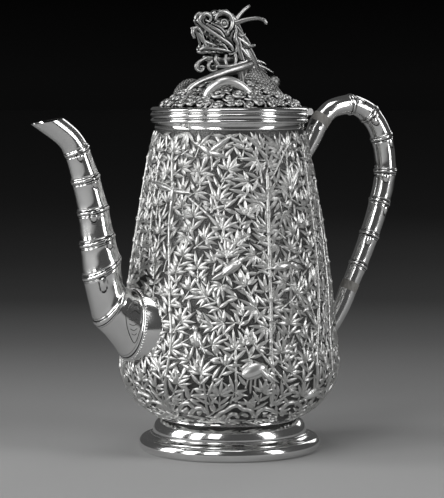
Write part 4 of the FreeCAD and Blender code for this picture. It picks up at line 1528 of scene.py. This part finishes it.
def grip():
    _, _, marks = bamboo_run(grip_rows, 1.0)
    buds = []
    for k in grip_ring_rows[:-1]:
        turn = 0.5 if k % 4 else -0.4
        buds.append((marks[k] + grip_bud_drop, grip_near + turn, grip_bud_size))
    shades = []
    grid = bamboo_skin(grip_rows, grip_ring_rows, grip_sides, 0.06, buds, shades)
    verts, _ = skin_faces(grid)
    mesh = solid_mesh("bamboo_handle", verts, tube_faces(len(grid), grip_sides))
    add_shade_and_tarnish(mesh, 1, 0.6)
    darken(mesh, shades)
    finished("bamboo_handle", mesh, polished, "pot", ["handle_grip", "handle_rings"])


# The dragon on the lid

def seen(px, py, depth):
    """The place at a given Y that a pixel of the photograph shows."""
    way = sight(px, py)
    return camera_place + way * ((depth - camera_place[1]) / way[1])


def drawn_rows(rows):
    """Rows of pixel x, pixel y, Y and radius as rows of x, y, z and radius."""
    return [(*seen(px, py, depth), radius) for px, py, depth, radius in rows]


def drawn(rows, sides=10):
    """A strand through pixels of the photograph. Each row is pixel x, pixel y, Y and radius."""
    return strand(drawn_rows(rows), sides)


def both_sides(part):
    """A part and its mirror image across the dragon's middle plane."""
    verts, faces = part
    mirrored = [np.array(v) * np.array([1, -1, 1]) for v in verts]
    return [part, (mirrored, [tuple(reversed(f)) for f in faces])]


def dragon_head():
    parts = []
    # Skull, snout and neck
    parts.append(drawn([(241, 46, 0, 5.2), (232, 36, 0, 5.6), (226, 28, 0, 5.0), (216, 24, 0, 3.7),
                        (207, 21, 0, 3.0), (201, 20.5, 0, 2.2)], 16))
    parts.append(drawn([(236, 40, 0, 4.6), (242, 52, 0.3, 5.3), (247, 64, 0.6, 5.8), (250, 78, 1.0, 6.2),
                        (250, 92, 1.5, 6.2)], 16))
    for rows in (
        # Nostril curl
        [(200, 21, -2.4, 0.7), (201.5, 16, -2.9, 1.1), (206, 13.6, -3.0, 1.25), (210.5, 17, -3.0, 1.05),
         (209.3, 21.5, -3.0, 0.8), (206.2, 20.3, -3.2, 0.6)],
        # Upper lip and the folds above it
        [(197.5, 20.5, -1.6, 0.8), (204, 26.5, -3.0, 1.05), (213, 33, -4.2, 1.1), (222, 39, -5.0, 1.15),
         (230, 45, -5.4, 1.2), (232.5, 50, -5.2, 1.0)],
        [(207, 24, -3.4, 0.6), (214, 28, -4.3, 0.95), (220, 31.5, -4.9, 0.9), (224, 37, -5.2, 0.7)],
        [(212, 23.5, -3.9, 0.6), (217, 26, -4.4, 0.8), (222, 29.5, -5.0, 0.8), (226.5, 35, -5.3, 0.6)],
        # Brow that curls round the eye, and the cheek behind it
        [(215.5, 19.5, -4.0, 0.7), (218, 14.5, -4.4, 1.05), (223, 11.8, -4.6, 1.35), (229, 14.5, -4.8, 1.3),
         (232.3, 20.5, -5.0, 1.2), (231.5, 27, -5.3, 1.1), (228.5, 31, -5.4, 0.8)],
        [(234, 24, -4.6, 0.8), (236, 31, -4.9, 1.1), (235, 38, -5.2, 1.15), (237.5, 44, -5.0, 1.1),
         (236, 51, -4.8, 1.05), (230, 54, -4.6, 0.9)],
        # Folds at the corner of the mouth
        [(220.5, 42, -4.6, 0.5), (225, 46.5, -4.9, 0.75), (228, 51, -4.8, 0.6)],
        [(224.5, 41.5, -4.8, 0.5), (228, 46, -5.1, 0.7), (230.5, 50, -5.0, 0.5)],
        # Lower lip
        [(231, 51.5, -4.8, 0.9), (222, 49.6, -4.5, 0.95), (212, 48.4, -4.0, 0.9), (204, 48, -3.1, 0.85),
         (200.5, 49.5, -1.6, 0.8)],
    ):
        parts += both_sides(drawn(rows, 8))
    # Lower jaw, chin and throat
    parts.append(drawn([(236, 50, 0, 4.4), (226, 52.2, 0, 3.2), (214, 52, 0, 2.8), (203, 51.2, 0, 1.7)], 14))
    for px, wide, high in ((228, 4.6, 1.7), (219, 4.2, 1.6), (210, 3.6, 1.5), (204, 2.8, 1.3)):
        parts.append(ball(seen(px, 51.8, 0), (4.2, wide, high)))
    parts.append(drawn([(238, 56, 0, 4.0), (226, 58.5, 0, 3.0), (213, 59, 0, 2.2), (205, 57.5, 0, 1.4)], 12))
    # Brow knobs, crest and cheek swell
    for px, py, depth, size in ((219.5, 12.8, -3.0, 1.3), (225.5, 11.8, -3.2, 1.45), (231, 15.5, -3.4, 1.2),
                                (226, 33, -4.4, 2.0)):
        parts += both_sides(ball(seen(px, py, depth), (size, size, size), sides=12))
    parts.append(drawn([(213, 17.8, 0, 1.4), (223, 13.5, 0, 1.8), (233, 19, 0, 1.8), (239, 30, 0, 1.6),
                        (244, 42, 0, 1.5)], 10))
    mesh = fused("dragon_head_cast", parts, 0.28, 2)
    add_shade_and_tarnish(mesh, 2, 2.2)
    stands_for = ["dragon_head", "dragon_jaw", "dragon_neck"]
    finished("dragon_head_cast", seated(mesh), cast, "lid", stands_for)


def dragon_gaze():
    """Each eye and the ring round it."""
    eye = seen(224.3, 23.3, -4.9)
    turns = np.linspace(0, 2 * math.pi, 20)
    ring = [eye + 1.95 * np.array([math.cos(t), 0.12 * math.cos(t), math.sin(t)]) for t in turns]
    parts = both_sides(ball(eye, (1.25, 1.25, 1.25), sides=16))
    parts += both_sides(bar(ring, [0.42] * len(ring), 6))
    mesh = solid_mesh("dragon_eye_pair", *join(parts))
    add_shade_and_tarnish(mesh, 1, 1.0)
    finished("dragon_eye_pair", mesh, cast, "lid", ["dragon_eyes"])


# Teeth: pixel and Y of the root, and the height from there to the tip
upper_teeth = [
    (205.5, 28.5, -2.8, -2.6), (210, 32, -3.6, -1.7), (214.5, 35, -4.0, -1.6), (219, 38.2, -4.4, -1.6),
    (223, 41, -4.7, -1.5),
]
lower_teeth = [(203.5, 47.6, -2.6, 2.0), (208, 47.6, -3.3, 1.5), (213, 48, -3.8, 1.4), (218, 48.6, -4.1, 1.3)]


def tooth(root, rise, radii, middle_lean, tip_lean):
    """A tooth and its mirror image. The leans are how far its middle and its tip stand off along X."""
    middle = root + np.array([middle_lean, 0, rise * 0.55])
    tip = root + np.array([tip_lean, 0, rise])
    return both_sides(strand([(*root, radii[0]), (*middle, radii[1]), (*tip, radii[2])], 8, 3))


def dragon_mouth():
    """Teeth, tongue and the strands at the front of the mouth."""
    parts = []
    for px, py, depth, rise in upper_teeth:
        parts += tooth(seen(px, py, depth), rise, (0.6, 0.42, 0.12), -0.1, -0.3)
    for px, py, depth, rise in lower_teeth:
        parts += tooth(seen(px, py, depth), rise, (0.55, 0.4, 0.12), 0.0, 0.2)
    parts.append(drawn([(230, 48, 0, 1.6), (221, 46, 0, 1.7), (212, 44.5, 0, 1.5), (204, 41, 0, 1.2),
                        (199.5, 35, 0, 0.9), (196, 31, 0, 0.5)], 10))
    for rows in (
        [(193.8, 28.3, -1.2, 0.75), (197.5, 28, -2.0, 0.85), (200.5, 31, -2.4, 0.7), (203, 37, -2.8, 0.55),
         (206, 46, -3.2, 0.5)],
        [(194.5, 28.5, -1.2, 0.6), (193.6, 33, -1.0, 0.5), (195, 38, -0.8, 0.35)],
    ):
        parts += both_sides(drawn(rows, 8))
    mesh = solid_mesh("dragon_mouth", *join(parts))
    add_shade_and_tarnish(mesh, 1, 1.0)
    finished("dragon_mouth", mesh, cast, "lid", ["dragon_tongue"])


def dragon_antlers():
    parts = [
        drawn([(234, 22, 3.0, 1.2), (238, 17, 3.6, 1.1), (243, 11, 4.4, 0.95), (247.5, 7.2, 5.2, 0.95),
               (248.6, 6.3, 5.4, 0.9)], 12),
        drawn([(235, 23.5, -3.0, 1.25), (243, 20.6, -4.2, 1.15), (250, 18.9, -5.2, 1.0),
               (258, 18.3, -6.2, 0.95), (264, 20.3, -7.0, 0.95), (266, 23, -7.3, 0.95)], 12),
    ]
    mesh = solid_mesh("dragon_horn_pair", *join(parts))
    add_shade_and_tarnish(mesh, 1, 1.0)
    finished("dragon_horn_pair", mesh, cast, "lid", ["dragon_horns"])


def dragon_ruff():
    """Mane locks behind the cheek, the pierced ruff below the jaw, and the curls of the beard."""
    parts = []
    for rows in (
        [(236, 33, -4.2, 1.2), (240, 35.5, -5.0, 1.1), (244, 35.5, -5.8, 0.5), (245.5, 33.5, -6.0, 0.2)],
        [(237, 38, -4.4, 1.5), (243, 42, -5.2, 1.35), (249, 45.8, -6.0, 1.0), (254.5, 45.5, -6.8, 0.7)],
        [(238, 46, -4.6, 1.6), (243, 51, -5.4, 1.4), (248, 56.5, -6.2, 0.9), (252, 59.5, -6.8, 0.3)],
        [(236, 36, -3.8, 1.8), (239, 44, -4.4, 2.0), (240, 52, -4.6, 1.9), (243, 61, -4.8, 1.5)],
        [(235, 54, -4.6, 1.0), (236, 59, -5.2, 0.95), (235, 65, -5.8, 1.0)],
        [(226, 55.5, -4.2, 0.95), (225.5, 60, -5.0, 0.85), (227, 66, -6.0, 0.9)],
        [(216, 56.5, -3.4, 0.9), (215.5, 60, -3.9, 0.8), (219, 66, -4.8, 0.8)],
        [(246, 61, -4.8, 1.4), (236, 65, -5.8, 1.1), (226, 66.5, -6.0, 1.0), (217, 66.5, -4.8, 0.8)],
    ):
        parts += both_sides(drawn(rows, 8))
    for rows in (
        [(206, 57.5, -1.4, 0.8), (200, 61, -1.8, 0.8), (196, 65, -2.0, 0.8), (196.6, 69.3, -2.1, 0.75),
         (200.3, 71.3, -2.2, 0.7), (203.4, 69, -2.2, 0.62), (202.4, 66, -2.2, 0.5),
         (200.2, 66.6, -2.2, 0.45)],
        [(218, 58, -2.2, 0.85), (212.5, 60.6, -2.6, 0.85), (208.6, 64.4, -2.8, 0.8),
         (209.2, 69.2, -2.9, 0.75), (213.2, 71, -3.0, 0.7), (216.8, 68.6, -3.0, 0.62),
         (215.8, 65.2, -3.0, 0.5), (213, 65.8, -3.0, 0.45)],
        [(207, 57.5, 2.2, 0.8), (202, 61, 2.2, 0.8), (198.5, 64, 2.2, 0.75), (199, 68, 2.2, 0.7),
         (202, 69.5, 2.2, 0.6), (204.5, 67, 2.2, 0.5)],
    ):
        parts.append(drawn(rows, 8))
    for rows in (
        [(250, 60, -1.0, 1.2), (257, 61, -1.6, 0.9), (263, 62.5, -2.2, 0.5), (266.5, 64.5, -2.6, 0.2)],
        [(252, 64, -1.4, 1.2), (260, 66, -2.2, 0.9), (268, 69.5, -3.0, 0.6), (273.5, 73, -3.4, 0.2)],
        [(253, 69, -1.4, 1.2), (261, 72, -2.2, 0.9), (268, 77, -3.0, 0.4)],
    ):
        parts += both_sides(drawn(rows, 8))
    mesh = fused("dragon_mane_locks", parts, 0.26, 1)
    add_shade_and_tarnish(mesh, 2, 1.8)
    stands_for = ["dragon_mane", "dragon_beard"]
    finished("dragon_mane_locks", seated(mesh), cast, "lid", stands_for)


# Scales: place, turn and size of each, the gaps between them along and round the coil, and their size
scale_rows = []
scale_step = 1.25
scale_pitch = 1.5
fewest_scales = 6
scale_size = (2.1, 1.75, 0.85)
scale_depth = 0.96
coil_sides = 18


def scaled_coil(rows):
    """A length of the dragon's body, with a row of scales stored round every step of it."""
    smooth = spline(rows, 10)
    places = smooth[:, :3]
    radii = smooth[:, 3]
    run = distances(places)
    way = headings(places)
    for step, d in enumerate(np.arange(0.8, run[-1] - 0.4, scale_step)):
        here = row_at(d, run, smooth)
        place = here[:3]
        radius = here[3]
        along = row_at(d, run, way)
        along /= np.linalg.norm(along)
        side = np.array([0.0, 0.0, 1.0]) - along * along[2]
        side /= np.linalg.norm(side)
        other = np.cross(along, side)
        count = max(fewest_scales, int(2 * math.pi * radius / scale_pitch))
        for k in range(count):
            angle = 2 * math.pi * (k + 0.5 * (step % 2)) / count
            out = side * math.cos(angle) + other * math.sin(angle)
            lean = out * 0.97 + along * 0.24
            lean /= np.linalg.norm(lean)
            forward = along - lean * lean.dot(along)
            forward /= np.linalg.norm(forward)
            turn = Matrix((forward, np.cross(lean, forward), lean)).transposed().to_euler("XYZ")
            scale_rows.append((place + out * radius * scale_depth, tuple(turn), scale_size))
    return bar(places, radii, coil_sides)


def scale_shape(name):
    """One scale a unit long and wide: a rounded plate with a raised middle."""
    outline = [(-0.5, -0.36), (0.0, -0.5), (0.32, -0.36), (0.5, 0.0), (0.32, 0.36), (0.0, 0.5), (-0.5, 0.36)]
    # Each level: length, width, height, and its tarnish and painted shade, darkest at the plate's foot
    levels = ((1.0, 1.0, -0.3, 0.85), (0.92, 0.9, 0.2, 0.3), (0.45, 0.4, 0.5, 0.05))
    verts = []
    shade_and_tarnish = []
    for long, wide, level, dark in levels:
        verts += [(x * long, y * wide, level) for x, y in outline]
        shade_and_tarnish += [dark] * len(outline)
    faces = grid_faces(len(levels), len(outline))
    faces.append(tuple(range(2 * len(outline), 3 * len(outline))))
    return unit_shape(name, verts, faces, shade_and_tarnish)


def fin(rows, out_way, height, count):
    """A row of pointed spines along a line of places."""
    smooth = spline(rows, 12)
    last = len(smooth) - 1
    parts = []
    for k in range(count):
        at = int((k + 0.5) / count * last)
        place = smooth[at]
        ahead = smooth[min(last, at + 1)] - place
        ahead /= max(np.linalg.norm(ahead), 1e-6)
        tip = place + np.array(out_way) * height + ahead * height * 0.5
        middle = place + np.array(out_way) * height * 0.6
        parts.append(strand([(*place, 0.85), (*middle, 0.55), (*tip, 0.12)], 6, 3))
    return parts


def dragon_body():
    """The limbs, and the coils of the body at the side and behind, with scales and spines."""
    side = drawn_rows([(252, 76, -2.0, 5.0), (259, 80, -6.0, 4.6), (266, 86, -9.0, 4.2),
                       (273, 93, -10.0, 3.6), (281, 101, -9.0, 3.0), (289, 107, -7.0, 2.2)])
    back = [(24.5, -3.0, 191.5, 3.2), (26.5, 4.0, 189.8, 3.2), (25.0, 12.0, 187.6, 3.0),
            (19.0, 19.5, 184.8, 2.6), (10.0, 24.5, 182.2, 2.0), (0.0, 26.5, 180.8, 1.4)]
    loop = [(-4.0, 17.0, 185.0, 2.0), (-8.0, 19.0, 189.5, 2.2), (-14.0, 19.5, 190.6, 2.2),
            (-20.0, 18.0, 187.0, 2.1), (-23.0, 15.0, 182.0, 1.8)]
    coils = [scaled_coil(rows) for rows in (side, back, loop)]
    near_limb = drawn([(250, 64, -4.0, 2.4), (240, 67.5, -6.0, 2.2), (228, 71, -7.5, 1.9),
                       (214, 76, -9.0, 1.7), (201, 81, -10.5, 1.6), (192, 86, -11.5, 1.5),
                       (187, 90.5, -12.0, 1.4)], 12)
    far_limb = strand([(12.0, 4.0, 199.0, 2.4), (4.0, 8.0, 197.0, 2.1), (-4.0, 12.0, 194.5, 1.8),
                       (-12.0, 16.0, 188.0, 1.6), (-15.0, 18.0, 185.6, 1.4)], 12)
    claws = []
    for px, py in ((181.5, 91), (183, 94.5), (187, 96.5)):
        knuckle = ((px + 187.5) / 2, (py + 89) / 2, -12.6, 0.8)
        claws.append(drawn([(187.5, 90, -12.0, 0.9), knuckle, (px, py, -13.0, 0.25)], 8))
    for away in (-2.5, 0.0, 2.5):
        knuckle = (-17.0, 19.0 + away * 0.5, 184.6, 0.8)
        claws.append(strand([(-15.0, 18.0, 185.8, 0.9), knuckle, (-19.0, 19.6 + away, 182.6, 0.25)], 8, 4))
    spines = fin([row[:3] for row in side], (0.55, -0.25, 0.8), 3.4, 9)
    spines += fin([(x, y, z + 1.5) for x, y, z, _ in back], (0.25, 0.1, 1.0), 3.0, 10)
    skin = solid_mesh("dragon_coils", *join(coils))
    add_shade_and_tarnish(skin, 1, 1.0)
    finished("dragon_coils", seated(skin), darker_cast, "lid", ["dragon_tail"])
    limbs = fused("dragon_limbs", [near_limb, far_limb] + claws + spines, 0.3, 1)
    add_shade_and_tarnish(limbs, 2, 1.6)
    finished("dragon_limbs", seated(limbs), cast, "lid", ["dragon_forelegs"])
    above_dome = []
    for row in scale_rows:
        x, y, z = row[0]
        if z > dome_level(math.hypot(x, y)) + 0.2:
            above_dome.append(row)
    scales = scattered("dragon_scales", above_dome, scale_shape("scale"), darker_cast)
    finished("dragon_scales", seated(scales), darker_cast, "lid")


def dragon_arch():
    """The smooth arch of the body in front, with a ledge inside it."""
    band = drawn([(204, 105, -15.0, 2.0), (207, 95, -16.5, 2.2), (213, 87.5, -18.0, 2.5),
                  (221, 83, -19.5, 2.7), (229, 81.8, -20.5, 2.7), (238, 85, -21.5, 2.7),
                  (246, 91, -22.5, 2.5), (252, 97.5, -23.0, 2.3), (256, 105, -23.0, 1.9)], 16)
    ledge = drawn([(209, 105, -15.5, 0.9), (212, 97.5, -16.6, 0.9), (219, 91.8, -18.2, 0.95),
                   (229, 89.6, -19.4, 0.95), (238, 92, -20.4, 0.95), (245, 97, -21.4, 0.9),
                   (249.5, 105, -21.8, 0.9)], 10)
    mesh = fused("dragon_arch", [band, ledge], 0.28, 2)
    add_shade_and_tarnish(mesh, 2, 1.8)
    finished("dragon_arch", seated(mesh), burnished, "lid", ["dragon_coil"])


# Stage: floor, light and camera

# The floor in metres: radii of its rings, and the grey along the camera's way as a share of its depth
floor_rings = [0.001, 0.15, 0.4, 1.0, 2.5, 6.0, 12.0]
floor_sides = 64
floor_near = -0.3
floor_far = 11.7
# Painted falloff of light: the floor's grey, pale by the pot and nearly black far off
floor_falloff_greys = [(0.0217, 0.36), (0.0325, 0.285), (0.0467, 0.215), (0.0642, 0.12), (0.0892, 0.047),
               (0.124, 0.032), (0.275, 0.026), (0.525, 0.016)]


def stage():
    floor_mesh = bpy.data.meshes.new("floor")
    verts = []
    for radius in floor_rings:
        for k in range(floor_sides):
            angle = 2 * math.pi * k / floor_sides
            verts.append((radius * math.cos(angle), radius * math.sin(angle), 0.0))
    floor_mesh.from_pydata(verts, [], grid_faces(len(floor_rings), floor_sides))
    floor_mesh.flip_normals()
    material, nodes, links, surface = shader("floor paper")
    place = nodes.new("ShaderNodeTexCoord")
    depth = nodes.new("ShaderNodeVectorMath")
    depth.operation = "DOT_PRODUCT"
    depth.inputs[1].default_value = (*camera_aim, 0.0)
    links.new(place.outputs["Object"], depth.inputs[0])
    # Painted light: the floor's colour fades with depth as the lamps' light would
    fall = nodes.new("ShaderNodeValToRGB")
    fall.color_ramp.interpolation = "LINEAR"
    stops = fall.color_ramp.elements
    stops[0].position = 0.0
    stops[0].color = (0.4, 0.4, 0.4, 1)
    stops[1].position = 1.0
    stops[1].color = (0.006, 0.006, 0.006, 1)
    for position, grey in floor_falloff_greys:
        stop = stops.new(position)
        stop.color = (grey, grey, grey, 1)
    share = spread(nodes, links, depth.outputs["Value"], floor_near, floor_far, 0.0, 1.0)
    links.new(share, fall.inputs["Fac"])
    links.new(fall.outputs["Color"], surface.inputs["Base Color"])
    surface.inputs["Roughness"].default_value = 0.9
    surface.inputs["Specular IOR Level"].default_value = 0.1
    floor_mesh.materials.append(material)
    floor = link("floor", floor_mesh)


lamp_aim = 100.0


def softbox(name, azimuth, height, reach, wide, high, power):
    """A flat lamp seen from the pot at an azimuth from the camera's side, turned toward the pot."""
    lamp = bpy.data.lights.new(name, "AREA")
    lamp.shape = "RECTANGLE"
    lamp.size = wide
    lamp.size_y = high
    lamp.energy = power
    source = bpy.data.objects.new(name, lamp)
    bpy.context.scene.collection.objects.link(source)
    turn = math.radians(camera_azimuth + azimuth)
    place = Vector((reach * math.cos(turn), reach * math.sin(turn), height))
    source.location = place
    source.rotation_euler = (Vector((0, 0, lamp_aim * MM)) - place).to_track_quat("-Z", "Y").to_euler()


def lights():
    """Windows and lamps in metres and watts, in a dim room that looks nearly black to the camera."""
    softbox("left window", -84, 0.55, 1.3, 0.5, 1.1, 8.0)
    softbox("left front window", -52, 0.6, 1.45, 0.4, 1.15, 7.0)
    softbox("front window", -24, 0.95, 1.6, 0.45, 1.0, 8.0)
    softbox("right window", 62, 0.6, 1.45, 0.4, 1.1, 8.5)
    softbox("overhead", -10, 1.7, 0.3, 0.9, 0.7, 6.0)
    softbox("back rim", 150, 0.8, 1.5, 0.5, 0.9, 3.0)
    world = bpy.data.worlds.new("room")
    world.use_nodes = True
    nodes = world.node_tree.nodes
    links = world.node_tree.links
    back = nodes["Background"]
    path = nodes.new("ShaderNodeLightPath")
    mix = nodes.new("ShaderNodeMix")
    mix.data_type = "RGBA"
    mix.inputs[6].default_value = (0.07, 0.07, 0.07, 1)
    toward = nodes.new("ShaderNodeTexCoord")
    split = nodes.new("ShaderNodeSeparateXYZ")
    links.new(toward.outputs["Generated"], split.inputs["Vector"])
    fade = spread(nodes, links, split.outputs["Z"], 0.0, 0.035, 0.0, 1.0)
    links.new(blended(nodes, links, fade, (0.0031, 0.0031, 0.0031), (0.0012, 0.0012, 0.0012)), mix.inputs[7])
    links.new(path.outputs["Is Camera Ray"], mix.inputs["Factor"])
    links.new(mix.outputs[2], back.inputs["Color"])
    bpy.context.scene.world = world


film_height = 36.0


def camera():
    lens = bpy.data.cameras.new("camera")
    lens.sensor_fit = "VERTICAL"
    lens.sensor_height = film_height
    lens.lens = film_height * focal_pixels / photo_height
    lens.clip_end = 50.0
    view = bpy.data.objects.new("camera", lens)
    view.location = tuple(float(c) * MM for c in camera_place)
    view.rotation_euler = (math.pi / 2 - camera_pitch, 0.0, camera_yaw)
    bpy.context.scene.collection.objects.link(view)
    bpy.context.scene.camera = view


finishes = {"bone": bone, "plain_silver": satin, "polished_silver": polished, "chased_silver": ground}


def dress_cad():
    """Materials for the solids that show as they are."""
    for name, node in frame["nodes"].items():
        slot = next(s["material_slot"] for s in frame["record"]["subparts"] if s["node"] == name)
        node.data.materials.clear()
        node.data.materials.append(darker_cast if "hinge" in name else finishes[slot])


bpy.context.scene.view_settings.view_transform = "Standard"
camera()
stage()
lights()
dress_cad()
foot()
base_strip()
mouth_band()
lid_plain()
spout()
lip()
collar()
grip()
body_relief()
lid_clouds()
dragon_head()
dragon_gaze()
dragon_mouth()
dragon_antlers()
dragon_ruff()
dragon_body()
dragon_arch()
